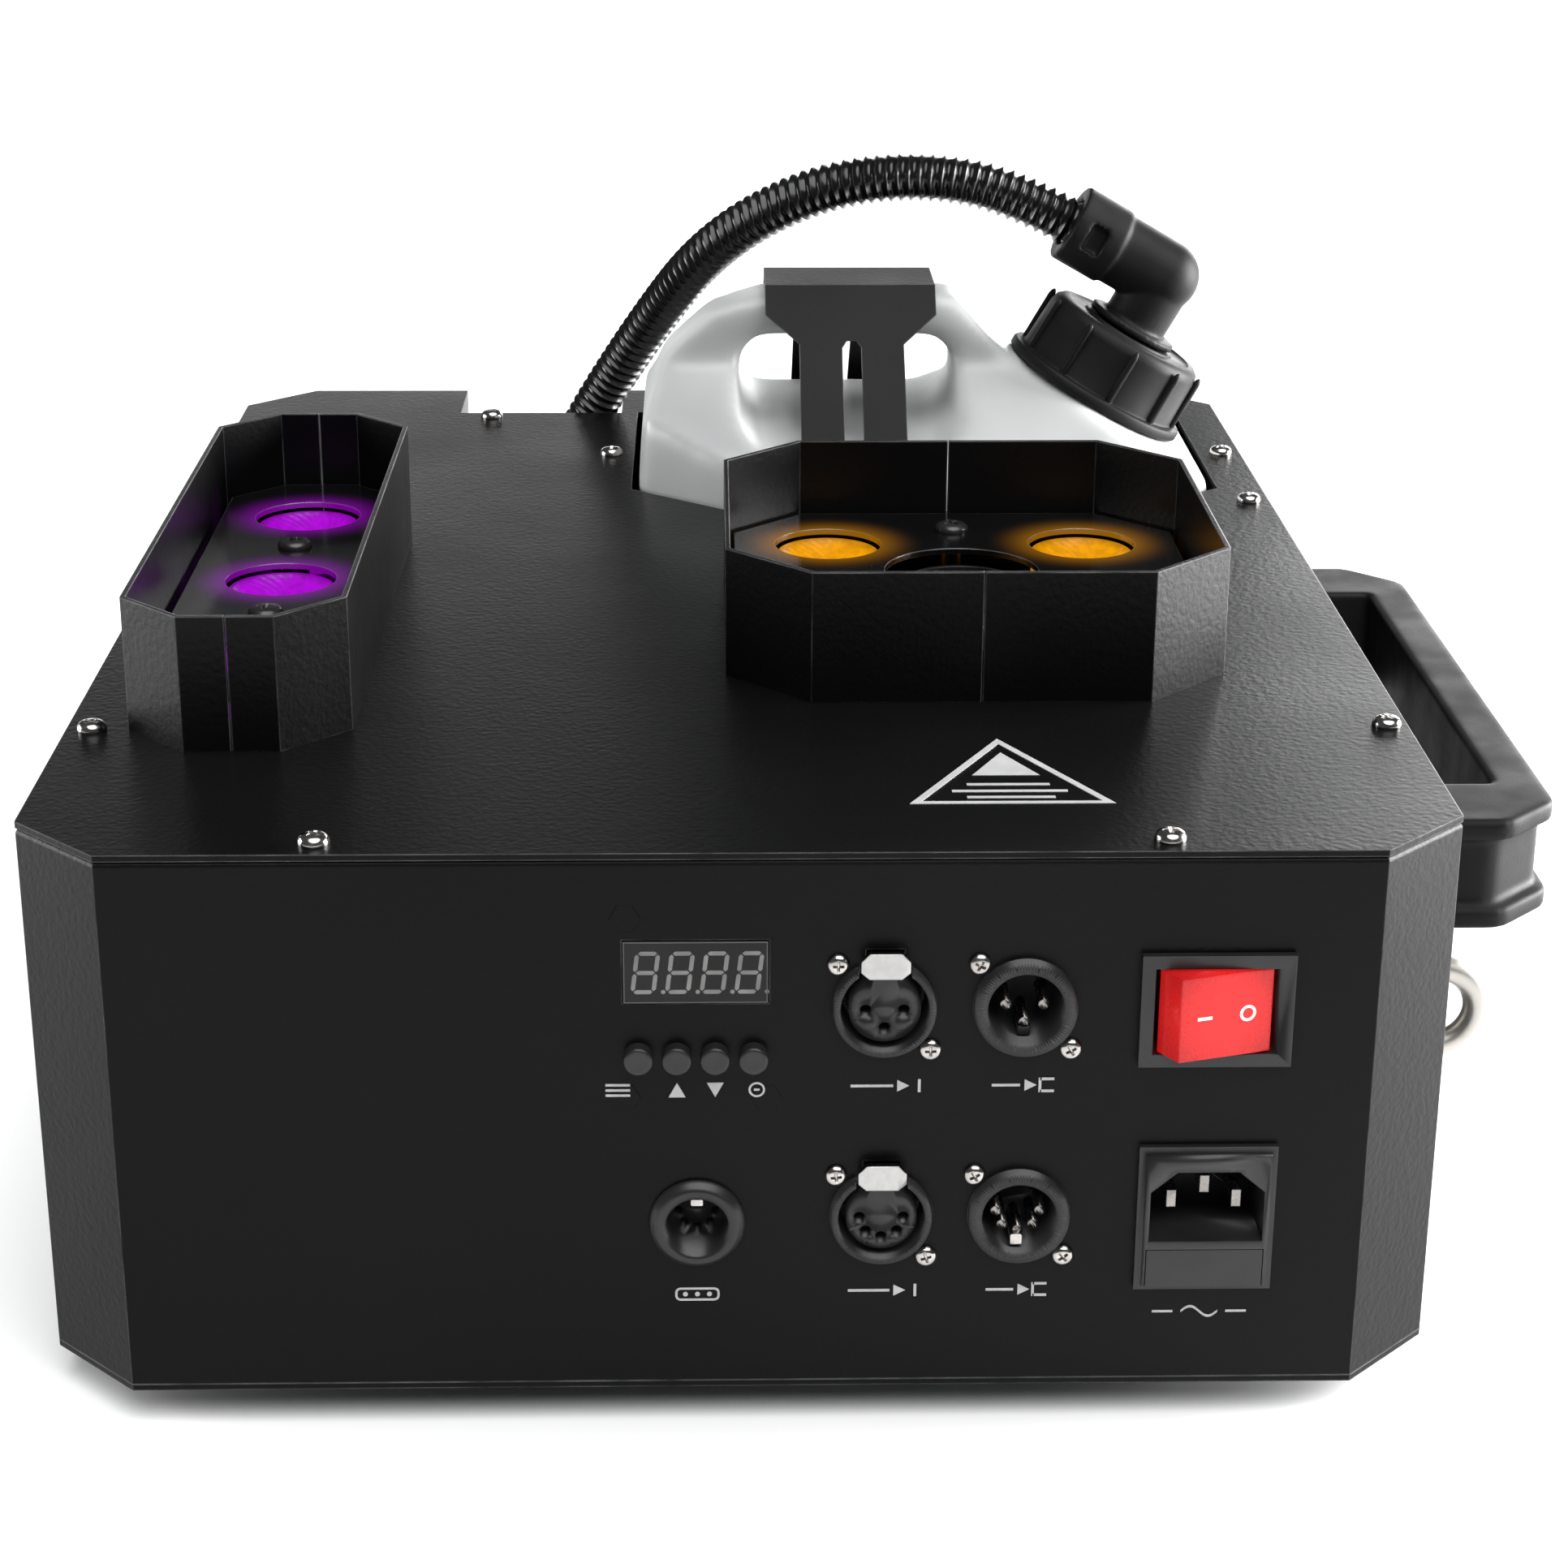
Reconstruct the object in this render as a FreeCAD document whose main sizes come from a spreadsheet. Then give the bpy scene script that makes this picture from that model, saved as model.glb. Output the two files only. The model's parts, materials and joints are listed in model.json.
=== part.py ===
import FreeCAD, Part
import Sketcher

import math
import os
import re

# Fog machine: a low sheet-metal case with two light hoods on its cover, a fluid bottle
# clamped in a well, a corrugated suction hose, and a control panel on its front.
# While it is drawn, X = 0 is the middle of the case, Y = 0 the control panel and Z = 0 the
# floor. Every sub-part is then moved by the same step, so that the origin is under the
# middle of the whole machine.

document = FreeCAD.newDocument("fog_machine")
sheet = document.addObject("Spreadsheet::Sheet", "Sizes")
aliases = set()


def size(alias, content, note):
    """Write one named size, a number or a formula, in the spreadsheet."""
    line = len(aliases) + 1
    sheet.set(f"A{line}", note)
    sheet.set(f"B{line}", str(content))
    sheet.setAlias(f"B{line}", alias)
    aliases.add(alias)


# case
size("body_width", 305, "width of the case")
size("body_length", 400, "length of the case")
size("body_height", 125.5, "height of the case without its feet")
size("corner_leg", 19.5, "leg of the 45 degree corner in plan")
size("sheet_metal", 1.5, "thickness of case, cover and base")
size("thin_sheet", 1.2, "thickness of hoods, well and hose bay")
size("foot_height", 8, "height of a rubber foot")
size("foot_radius", 11, "radius of a rubber foot")
size("foot_inset", 38, "foot centre from the case edges")
size("lip_width", 9, "inward lip that the cover rests on")
size("edge_radius", 1.4, "bend radius along the top edge of the case")
size("half_width", "=body_width / 2", "half the width")
size("cover_top", "=foot_height + body_height", "top face of the cover")
size("cover_under", "=cover_top - sheet_metal", "underside of the cover")
size("pan_top", "=foot_height + sheet_metal", "top face of the base pan")
size("inner_leg", "=corner_leg - 0.5858 * sheet_metal", "corner leg inside the wall")
# hose bay, the recess at the rear edge
size("bay_left", -84.5, "left side of the hose bay")
size("bay_right", -34.3, "right side of the hose bay")
size("bay_depth", 29.6, "depth of the hose bay from the rear")
size("bay_floor", 66, "height of the hose bay's shelf")
size("bay_front", "=body_length - bay_depth", "front wall of the hose bay")
# hoods
size("hood_height", 31.5, "height of both hoods above the cover")
size("hood_slit", 0.25, "slit between the two halves of a hood")
size("hood_flange", 7, "width of a hood's foot flange")
size("lens_level", 12.2, "top of the lens plates above the cover")
size("plate_gap", 1.5, "gap round a lens plate")
size("lens_radius", 13.2, "radius of a lens")
size("lens_clear", 0.5, "clearance round a lens in its plate")
size("lamp_x", -112.9, "middle of the left hood, X")
size("lamp_y", 152.5, "middle of the left hood, Y")
size("lamp_width", 50.5, "width of the left hood")
size("lamp_length", 182.5, "length of the left hood")
size("lamp_leg", 14.5, "corner leg of the left hood")
size("lamp_pitch", 57, "distance between lenses of the left hood")
size("jet_x", 56.4, "middle of the right hood, X")
size("jet_y", 153.3, "middle of the right hood, Y")
size("jet_width", 119, "width of the right hood")
size("jet_length", 120.5, "length of the right hood")
size("jet_leg", 19.8, "corner leg of the right hood")
size("jet_lens_x", 65.4, "lens distance across the right hood")
size("jet_lens_y", 58.5, "lens distance along the right hood")
size("nozzle_shift", 5.5, "nozzle behind the middle of the right hood")
size("nozzle_hole", 19.3, "radius of the nozzle's hole in the lens plate")
size("shroud_radius", 15, "outer radius of the nozzle shroud")
size("shroud_bore", 13.8, "bore radius of the nozzle shroud")
size("nozzle_y", "=jet_y + nozzle_shift", "nozzle axis, Y")
# bottle, well and clamp
size("bottle_width", 164.6, "width of the bottle")
size("bottle_depth", 111, "depth of the bottle")
size("bottle_top", 185.5, "top of the bottle's handle")
size("bottle_x", 55.2, "middle of the bottle, X")
size("bottle_y", 313.8, "middle of the bottle, Y")
size("bottle_gap", 2.1, "gap between bottle and cover opening")
size("front_cut_x", 29, "bottle's front corner, leg along X")
size("front_cut_y", 24, "bottle's front corner, leg along Y")
size("grip_depth", 24, "thickness of the bottle's handle")
size("well_gap", 2.3, "well wall outside the cover opening")
size("well_floor", "=pan_top + thin_sheet", "floor of the bottle well")
size("neck_tilt", 29.6, "lean of the bottle's neck in degrees")
size("neck_x", 106.4, "seat of the cap, X")
size("neck_z", 154, "seat of the cap, Z")
size("neck_radius", 22, "outer radius of the neck")
size("cap_radius", 25, "radius of the cap")
size("cap_flange", 28.3, "radius of the cap's bottom flange")
size("cap_height", 21, "height of the cap")
size("turning_gap", 0.4, "gap of what turns or slides past its seat")
size("clamp_x", 33.9, "middle of the clamp, X")
size("clamp_width", 49, "width of the clamp over the handle")
size("clamp_leg_width", 29.8, "width of a clamp leg")
size("clamp_slot", 5.4, "width of the slot in a clamp leg")
size("clamp_sheet", 1.6, "thickness of the clamp")
size("clamp_slope", 42, "slope of a clamp leg in degrees")
size("clamp_foot", 11, "length of a clamp foot")
# hose and elbow
size("hose_radius", 7.05, "outer radius of the suction hose")
size("elbow_rise", 18.6, "elbow corner above the cap")
size("elbow_reach", 32, "length of the elbow's arm")
size("elbow_radius", 9.6, "radius of the elbow")
size("elbow_arm", 10.5, "radius of the elbow's arm and knee")
size("collar_radius", 11.4, "radius of the elbow's collar")
# handle and eye bolt
size("handle_front", 70.5, "front end of the side handle")
size("handle_length", 202, "length of the side handle")
size("handle_reach", 38, "how far the side handle stands out")
size("handle_low", 85, "underside of the side handle")
size("handle_height", 27, "height of the side handle")
size("handle_slot", 26, "depth of the finger slot")
size("handle_end", 26, "length of each end block of the handle")
size("handle_groove", 2.4, "depth of the web behind the flanges")
size("handle_flange", 5, "height of each flange of the handle")
size("eye_y", 88, "eye bolt, Y")
size("eye_z", 57.8, "eye bolt, Z")
size("eye_ring", 10, "middle radius of the eye bolt's ring")
size("eye_rod", 3.2, "rod radius of the eye bolt")
# control panel
size("display_x", -10, "middle of the display, X")
size("display_z", 106.9, "middle of the display, Z")
size("display_width", 30.2, "width of the display")
size("display_height", 14, "height of the display")
size("button_z", 87.7, "middle of the buttons, Z")
size("button_first_x", -22.1, "first button, X")
size("button_pitch", 8.05, "distance between buttons")
size("button_radius", 2.2, "radius of a button")
size("button_reach", 3.4, "how far a button stands out")
size("button_travel", 1, "travel of a button")
size("socket_left_x", 29.4, "left column of signal sockets, X")
size("socket_right_x", 58.9, "right column of signal sockets, X")
size("socket_high_z", 98.8, "upper row of signal sockets, Z")
size("socket_low_z", 49.8, "lower row of signal sockets, Z")
size("ring_radius", 10.75, "outer radius of a signal socket")
size("ring_reach", 2.2, "how far a signal socket stands out")
size("socket_bore", 8.05, "bore radius of a signal plug")
size("insert_radius", 7.6, "radius of a signal socket's insert")
size("screw_offset", 9.75, "panel screws beside a signal socket")
size("latch_travel", 1.5, "travel of a latch tab")
size("remote_z", 48.4, "remote socket, Z")
size("remote_radius", 10.3, "outer radius of the remote socket")
size("remote_bore", 6.8, "bore radius of the remote socket")
size("mains_x", 98.9, "middle of rocker and mains inlet, X")
size("rocker_z", 98, "middle of the rocker, Z")
size("rocker_width", 32.2, "width of the rocker's bezel")
size("rocker_height", 25.4, "height of the rocker's bezel")
size("rocker_window_x", 26.4, "width of the rocker's window")
size("rocker_window_z", 19.6, "height of the rocker's window")
size("paddle_half", 10.4, "half the length of the paddle's face")
size("paddle_face", 5.6, "paddle's face in front of its pivot")
size("rocker_pivot", 1.5, "rocker pivot behind the panel face")
size("rocker_tilt", 16.6, "tilt of the rocker at rest in degrees")
size("bezel_reach", 2, "how far the rocker's bezel stands out")
size("inlet_z", 49.2, "middle of the mains inlet, Z")
size("inlet_width", 29.6, "width of the mains inlet")
size("inlet_height", 34.2, "height of the mains inlet")
size("inlet_reach", 3, "how far the mains inlet stands out")
size("drawer_z", 37.9, "middle of the fuse drawer, Z")
size("drawer_width", 25, "width of the fuse drawer's face")
size("drawer_height", 8.8, "height of the fuse drawer's face")
# inner pieces
size("heater_width", 86, "width of the heater")
size("heater_length", 66, "length of the heater")
size("heater_low", 40, "underside of the heater")
size("heater_half", 22, "height of each half of the heater")
size("element_radius", 5, "radius of the heating element")
size("pump_x", -96, "pump axis, X")
size("pump_y", 284, "pump axis, Y")
size("pump_side", 36, "side of the pump's housing")
size("plunger_radius", 5, "radius of the pump's plunger")
size("plunger_clear", 0.05, "running clearance of the plunger")
# the step from the drawing's origin to the row's origin
size("step_x", "=-handle_reach / 2", "sideways step of every sub-part")
size("nose_reach", "=paddle_half * sin(rocker_tilt * 1deg) + paddle_face * cos(rocker_tilt * 1deg) - rocker_pivot",
     "how far the rocker's nose stands out")
size("step_y", "=-(body_length - nose_reach) / 2", "lengthways step of every sub-part")
document.recompute()

sub_parts = []
word = re.compile(r"[a-z][a-z_]*[a-z]")
TURNS = {
    "z": FreeCAD.Rotation(),
    "y": FreeCAD.Rotation(FreeCAD.Vector(1, 0, 0), -90),
    "x": FreeCAD.Rotation(FreeCAD.Vector(0, 1, 0), 90),
}


def value(alias):
    """The number that a named size has now."""
    return float(sheet.get(alias))


def linked(text):
    """Spell an expression's named sizes as cells of the sheet."""
    return word.sub(lambda m: "Sizes." + m.group(0) if m.group(0) in aliases else m.group(0), str(text))


def bind(thing, prop, text):
    """Tie one property of an object to an expression of named sizes."""
    thing.setExpression(prop, linked(text))


def place(thing, spot):
    """Tie an object's position to three expressions."""
    for letter, text in zip("xyz", spot):
        bind(thing, f"Placement.Base.{letter}", text)
    return thing


def block(low, high):
    """A box between two corners, both given as expressions."""
    thing = document.addObject("Part::Box", "block")
    for prop, a, b in zip(("Length", "Width", "Height"), low, high):
        bind(thing, prop, f"({b}) - ({a})")
    return place(thing, low)


def rod(foot, radius, length, way="z"):
    """A cylinder that starts at foot and runs along +X, +Y or +Z."""
    thing = document.addObject("Part::Cylinder", "rod")
    thing.Placement = FreeCAD.Placement(FreeCAD.Vector(), TURNS[way])
    bind(thing, "Radius", radius)
    bind(thing, "Height", length)
    return place(thing, foot)


def cone(foot, radius, end_radius, length, way="z"):
    """A cone that starts at foot and runs along +X, +Y or +Z."""
    thing = document.addObject("Part::Cone", "cone")
    thing.Placement = FreeCAD.Placement(FreeCAD.Vector(), TURNS[way])
    bind(thing, "Radius1", radius)
    bind(thing, "Radius2", end_radius)
    bind(thing, "Height", length)
    return place(thing, foot)


def fuse(pieces):
    """Join touching pieces to one solid."""
    thing = document.addObject("Part::MultiFuse", "fuse")
    thing.Shapes = pieces
    thing.Refine = True
    return thing


def cut(base, tools):
    """Take one or more tools away from a base."""
    thing = document.addObject("Part::Cut", "cut")
    thing.Base = base
    thing.Tool = tools[0] if len(tools) == 1 else fuse(tools)
    return thing


def common(pieces):
    """What several pieces have in common."""
    thing = document.addObject("Part::MultiCommon", "common")
    thing.Shapes = pieces
    return thing


def group(pieces):
    """Keep separate solids together in one object."""
    thing = document.addObject("Part::Compound", "group")
    thing.Links = pieces
    return thing


def sub_part(node, thing, tilted=False):
    """Name a finished sub-part and step it to the row's origin."""
    thing.Label = node
    if tilted:
        thing.Placement.Rotation = FreeCAD.Rotation(FreeCAD.Vector(0, 1, 0), value("neck_tilt"))
        bind(thing, "Placement.Rotation.Angle", "neck_tilt")
        place(thing, ("neck_x + step_x", "bottle_y + step_y", "neck_z"))
    else:
        place(thing, ("step_x", "step_y", "0"))
    sub_parts.append(thing)
    return thing


def evaluate(text):
    """The number that an expression of named sizes has now."""
    total = sheet.evalExpression(linked(text))
    return float(getattr(total, "Value", total))


def plane(body, role):
    """One origin plane of a body."""
    return next(item for item in body.Origin.OriginFeatures if item.Role == role)


def sketch_on(body, role, outlines, circles, level):
    """A sketch of closed outlines and circles, every point tied to expressions."""
    sketch = body.newObject("Sketcher::SketchObject", "outline")
    sketch.AttachmentSupport = [(plane(body, role), "")]
    sketch.MapMode = "FlatFace"
    bind(sketch, "AttachmentOffset.Base.z", level)
    ties = []
    for outline in outlines:
        spots = [FreeCAD.Vector(*(evaluate(text) for text in spot), 0) for spot in outline]
        first = sketch.GeometryCount
        for index, spot in enumerate(spots):
            sketch.addGeometry(Part.LineSegment(spot, spots[(index + 1) % len(spots)]), False)
        for index, texts in enumerate(outline):
            after = first + (index + 1) % len(spots)
            sketch.addConstraint(Sketcher.Constraint("Coincident", first + index, 2, after, 1))
            ties += [("DistanceX", first + index, 1, texts[0]), ("DistanceY", first + index, 1, texts[1])]
    for x, y, radius in circles:
        centre = FreeCAD.Vector(evaluate(x), evaluate(y), 0)
        index = sketch.addGeometry(Part.Circle(centre, FreeCAD.Vector(0, 0, 1), evaluate(radius)), False)
        tie = sketch.addConstraint(Sketcher.Constraint("Radius", index, evaluate(radius)))
        bind(sketch, f"Constraints[{tie}]", radius)
        ties += [("DistanceX", index, 3, x), ("DistanceY", index, 3, y)]
    for kind, index, end, text in ties:
        tie = sketch.addConstraint(Sketcher.Constraint(kind, -1, 1, index, end, evaluate(text)))
        bind(sketch, f"Constraints[{tie}]", text)
    return sketch




def pad(body, sketch, length, back=False):
    """Pad a sketch; back sends it against the sketch's normal."""
    feature = body.newObject("PartDesign::Pad", "pad")
    feature.Profile = sketch
    feature.Reversed = back
    bind(feature, "Length", length)
    return feature


def plate(outlines, circles, level, height):
    """A level plate with holes, as a body of its own."""
    body = document.addObject("PartDesign::Body", "plate")
    pad(body, sketch_on(body, "XY_Plane", outlines, circles, level), height)
    return body


def slab(outline, front, depth):
    """An upright plate drawn in X and Z, from Y = front towards +Y."""
    body = document.addObject("PartDesign::Body", "slab")
    pad(body, sketch_on(body, "XZ_Plane", [outline], [], f"-({front})"), depth, back=True)
    return body


def profile(outline, left, width):
    """A piece drawn in Y and Z, from X = left towards +X."""
    body = document.addObject("PartDesign::Body", "profile")
    pad(body, sketch_on(body, "YZ_Plane", [outline], [], left), width)
    return body


def turned(outline):
    """A body turned about Z from an outline of radius and height."""
    body = document.addObject("PartDesign::Body", "turned")
    sketch = sketch_on(body, "XZ_Plane", [outline], [], "0")
    feature = body.newObject("PartDesign::Revolution", "turning")
    feature.Profile = sketch
    feature.ReferenceAxis = (sketch, ["V_Axis"])
    feature.Angle = 360
    return body


def soften(body, radius, wanted):
    """Fillet the edges of a body's tip that a test picks."""
    document.recompute()
    names = [f"Edge{i}" for i, edge in enumerate(body.Tip.Shape.Edges, 1) if wanted(edge)]
    feature = body.newObject("PartDesign::Fillet", "fillet")
    feature.Base = (body.Tip if body.Tip != feature else feature.BaseFeature, names)
    bind(feature, "Radius", radius)
    return body


def octagon(low, high, leg):
    """Corners of a rectangle in plan with its corners cut."""
    (x0, y0), (x1, y1) = low, high
    return [(f"{x0} + {leg}", y0), (f"{x1} - {leg}", y0), (x1, f"{y0} + {leg}"), (x1, f"{y1} - {leg}"),
            (f"{x1} - {leg}", y1), (f"{x0} + {leg}", y1), (x0, f"{y1} - {leg}"), (x0, f"{y0} + {leg}")]


def case_outline(inset):
    """The case's outline in plan, a step inside its wall's outer face."""
    low = (f"(-half_width + {inset})", f"({inset})")
    high = (f"(half_width - {inset})", f"(body_length - {inset})")
    return octagon(low, high, f"(corner_leg - 0.5858 * {inset})")


def hood_outline(name, inset):
    """A hood's outline in plan; name is lamp or jet."""
    low = (f"({name}_x - {name}_width / 2 + ({inset}))", f"({name}_y - {name}_length / 2 + ({inset}))")
    high = (f"({name}_x + {name}_width / 2 - ({inset}))", f"({name}_y + {name}_length / 2 - ({inset}))")
    return octagon(low, high, f"({name}_leg - 0.5858 * ({inset}))")


def rectangle(low, high):
    """The four corners of a rectangle."""
    (x0, y0), (x1, y1) = low, high
    return [(x0, y0), (x1, y0), (x1, y1), (x0, y1)]


def screws(spots, head, head_height, shank, length, way):
    """Pan-head screws with a cross recess; each spot is the middle of a head's seat."""
    pieces = []
    recess = f"({head}) * 0.55"
    for x, y, z in spots:
        if way == "z":
            body = fuse([cone((x, y, z), head, f"({head}) * 0.74", head_height),
                         rod((x, y, f"{z} - ({length})"), shank, f"{length} + 0.2")])
            top = f"{z} + {head_height}"
            cross = [block((f"{x} - {a}", f"{y} - {b}", f"{top} - 1"), (f"{x} + {a}", f"{y} + {b}", f"{top} + 1"))
                     for a, b in ((recess, "0.35"), ("0.35", recess))]
        else:
            body = fuse([cone((x, f"{y} - {head_height}", z), f"({head}) * 0.74", head, head_height, "y"),
                         rod((x, f"{y} - 0.2", z), shank, f"{length} + 0.2", "y")])
            top = f"{y} - {head_height}"
            cross = [block((f"{x} - {a}", f"{top} - 1", f"{z} - {b}"), (f"{x} + {a}", f"{top} + 0.8", f"{z} + {b}"))
                     for a, b in ((recess, "0.3"), ("0.3", recess))]
        pieces.append(cut(body, cross))
    return group(pieces)


def lamp_spots():
    """Lens centres of the left hood."""
    return [("lamp_x", f"lamp_y + {step} * lamp_pitch") for step in (-1, 0, 1)]


def jet_spots():
    """Lens centres of the right hood."""
    return [(f"jet_x + {a} * jet_lens_x / 2", f"jet_y + {b} * jet_lens_y / 2") for a in (-1, 1) for b in (-1, 1)]


PLATE_SCREWS = [("lamp_x", "lamp_y - lamp_pitch / 2"), ("lamp_x", "lamp_y + lamp_pitch / 2"),
                ("jet_x", "jet_y - jet_length / 2 + 18.5"), ("jet_x", "jet_y + jet_length / 2 - 18.5")]
COVER_SCREWS = [("-half_width + 64", "6.2"), ("half_width - 64", "6.2"), ("bay_left + 10", "bay_front - 5.6"),
                ("-half_width + 6", "76"), ("-half_width + 6", "266"), ("-half_width + 6", "319"),
                ("half_width - 5", "76"), ("half_width - 6", "266"), ("half_width - 6", "319"),
                ("-36", "319")]
CLAMP_FRONT = "bottle_y - grip_depth / 2 - (bottle_top + 1.2 + clamp_sheet - cover_top) / tan(clamp_slope * 1deg)"
CLAMP_REAR = "bottle_y + grip_depth / 2 + (bottle_top + 1.2 + clamp_sheet - cover_top) / tan(clamp_slope * 1deg)"
HANDLE_BOLTS = ("handle_front + handle_end / 2", "handle_front + handle_length - handle_end / 2")
HOSE_X = "(bay_right - 24.8)"
HOSE_Y = "(body_length - 12.5)"
CLAMP_SCREWS = [("clamp_x", f"{CLAMP_FRONT} - 6"), ("clamp_x", f"{CLAMP_REAR} + 6")]


def base_pan():
    """Flat base with vent slots, a row of them repeated by a pattern."""
    body = plate([case_outline("0")], [], "foot_height", "sheet_metal")
    slot = sketch_on(body, "XY_Plane", [rectangle(("-20", "130"), ("40", "134"))], [], "pan_top")
    vent = body.newObject("PartDesign::Pocket", "vent")
    vent.Profile = slot
    vent.Type = "ThroughAll"
    row = body.newObject("PartDesign::LinearPattern", "vents")
    row.Originals = [vent]
    row.Direction = (slot, ["V_Axis"])
    row.Length = 70
    row.Occurrences = 8
    body.Tip = row
    sub_part("base_pan", body)


def rubber_feet():
    """Four feet under the base, each a tapered puck."""
    pieces = []
    for side in ("-", ""):
        for y in ("foot_inset", "body_length - foot_inset"):
            pieces.append(cone((f"{side}(half_width - foot_inset)", y, "0"), "foot_radius - 1.5", "foot_radius",
                               "foot_height"))
    sub_part("rubber_feet", group(pieces))


def panel_cuts():
    """Everything cut in the control panel."""
    face = "-1"
    back = "sheet_metal + 1"
    depth = "sheet_metal + 2"
    cuts = [block(("display_x - display_width / 2 - 0.2", face, "display_z - display_height / 2 - 0.2"),
                  ("display_x + display_width / 2 + 0.2", back, "display_z + display_height / 2 + 0.2")),
            block(("mains_x - rocker_window_x / 2 - 0.8", face, "rocker_z - rocker_window_z / 2 - 1.1"),
                  ("mains_x + rocker_window_x / 2 + 0.8", back, "rocker_z + rocker_window_z / 2 + 1.1")),
            block(("mains_x - inlet_width / 2 + 1.2", face, "inlet_z - inlet_height / 2 + 1.2"),
                  ("mains_x + inlet_width / 2 - 1.2", back, "inlet_z + inlet_height / 2 - 1.2")),
            rod(("display_x", face, "remote_z"), "remote_radius - 1.3", depth, "y")]
    cuts += [rod((f"button_first_x + {i} * button_pitch", face, "button_z"), "button_radius + 0.3", depth, "y")
             for i in range(4)]
    for x in ("socket_left_x", "socket_right_x"):
        for z in ("socket_high_z", "socket_low_z"):
            cuts.append(rod((x, face, z), "ring_radius + 0.1", depth, "y"))
            cuts += [rod((f"{x} {a} screw_offset", face, f"{z} {b} screw_offset"), "1.6", depth, "y")
                     for a, b in (("-", "+"), ("+", "-"))]
            if x == "socket_left_x":
                cuts.append(block((f"{x} - 4", face, f"{z} + 8"), (f"{x} + 4", back, f"{z} + 13")))
    return cuts


def body_shell():
    """Front, sides, corners and rear in one wrapped sheet with an inward lip at the top."""
    outer = plate([case_outline("0")], [], "pan_top", "cover_under - pan_top")
    soften(outer, "edge_radius", lambda edge: edge.BoundBox.ZMin > value("cover_under") - 0.01)
    room = plate([case_outline("sheet_metal")], [], "pan_top - 1", "cover_under - sheet_metal - pan_top + 1")
    mouth = plate([case_outline("lip_width")], [], "cover_under - 3", "5")
    bay = block(("bay_left - thin_sheet", "bay_front - thin_sheet", "bay_floor - thin_sheet"),
                ("bay_right + thin_sheet", "body_length - sheet_metal", "cover_under + 1"))
    rear = block(("bay_left", "body_length - sheet_metal - 1", "bay_floor"),
                 ("bay_right", "body_length + 1", "cover_under + 1"))
    side = [rod(("half_width - 3", y, "handle_low + handle_height / 2"), "2.7", "5", "x") for y in HANDLE_BOLTS]
    side.append(rod(("half_width - 3", "eye_y", "eye_z"), "eye_rod + 0.2", "5", "x"))
    screw_holes = [rod((x, y, "cover_under - 4"), "2", "6") for x, y in COVER_SCREWS[:9] + CLAMP_SCREWS]
    sub_part("body_shell", cut(outer, [room, mouth, bay, rear] + side + screw_holes + panel_cuts()))


def hose_bay():
    """Bent box round the recess where the hose comes out."""
    outer = block(("bay_left - thin_sheet", "bay_front - thin_sheet", "bay_floor - thin_sheet"),
                  ("bay_right + thin_sheet", "body_length - sheet_metal", "cover_under"))
    inner = block(("bay_left", "bay_front", "bay_floor"), ("bay_right", "body_length", "cover_under + 1"))
    hole = rod((HOSE_X, HOSE_Y, "bay_floor - 3"), "hose_radius + 1.3", "5")
    sub_part("hose_bay", cut(outer, [inner, hole]))


def top_cover():
    """Flat cover with the bottle's opening, the hose notch and holes under the hoods."""
    ends = case_outline("0")
    notch = [("bay_right", "body_length"), ("bay_right", "bay_front"), ("bay_left", "bay_front"),
             ("bay_left", "body_length")]
    outline = ends[:5] + notch + ends[5:]
    circles = [(x, y, "lens_radius") for x, y in lamp_spots() + jet_spots()]
    circles.append(("jet_x", "nozzle_y", "shroud_radius + 0.3"))
    circles += [(x, y, "2") for x, y in COVER_SCREWS]
    circles += [(x, y, "1.5") for x, y in PLATE_SCREWS + CLAMP_SCREWS]
    sub_part("top_cover", plate([outline, bottle_outline("-bottle_gap")], circles, "cover_under", "sheet_metal"))


def bottle_outline(inset):
    """The bottle's outline in plan, with cut front corners."""
    x0 = f"(bottle_x - bottle_width / 2 + {inset})"
    x1 = f"(bottle_x + bottle_width / 2 - {inset})"
    y0 = f"(bottle_y - bottle_depth / 2 + {inset})"
    y1 = f"(bottle_y + bottle_depth / 2 - {inset})"
    return [(f"{x0} + front_cut_x", y0), (f"{x1} - front_cut_x", y0), (x1, f"{y0} + front_cut_y"),
            (x1, y1), (x0, y1), (x0, f"{y0} + front_cut_y")]


def hood(name, nodes):
    """One hood, made of a left and a right half with in-turned foot flanges."""
    for node, side in zip(nodes, ("left", "right")):
        wall = plate([hood_outline(name, "0"), hood_outline(name, "thin_sheet")], [], "cover_top", "hood_height")
        flange = plate([hood_outline(name, "thin_sheet / 2"), hood_outline(name, "hood_flange")], [], "cover_top",
                       "thin_sheet")
        low = f"{name}_y - {name}_length"
        high = f"{name}_y + {name}_length"
        if side == "left":
            away = block((f"{name}_x - hood_slit / 2", low, "cover_top - 1"),
                         (f"{name}_x + {name}_width", high, "cover_top + hood_height + 1"))
        else:
            away = block((f"{name}_x - {name}_width", low, "cover_top - 1"),
                         (f"{name}_x + hood_slit / 2", high, "cover_top + hood_height + 1"))
        sub_part(node, cut(fuse([wall, flange]), [away]))


def lens_plate(node, name, spots, seats, holes):
    """Inset plate with lens holes, on two tubular legs round its screws."""
    circles = [(x, y, "lens_radius + lens_clear") for x, y in spots]
    circles += [(x, y, "1.7") for x, y in seats]
    body = plate([hood_outline(name, "thin_sheet + plate_gap")], circles + holes,
                 "cover_top + lens_level - sheet_metal", "sheet_metal")
    legs = [cut(rod((x, y, "cover_top"), "3.4", "lens_level - sheet_metal"),
                [rod((x, y, "cover_top - 1"), "1.7", "lens_level + 2")]) for x, y in seats]
    sub_part(node, fuse([body] + legs))


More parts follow.
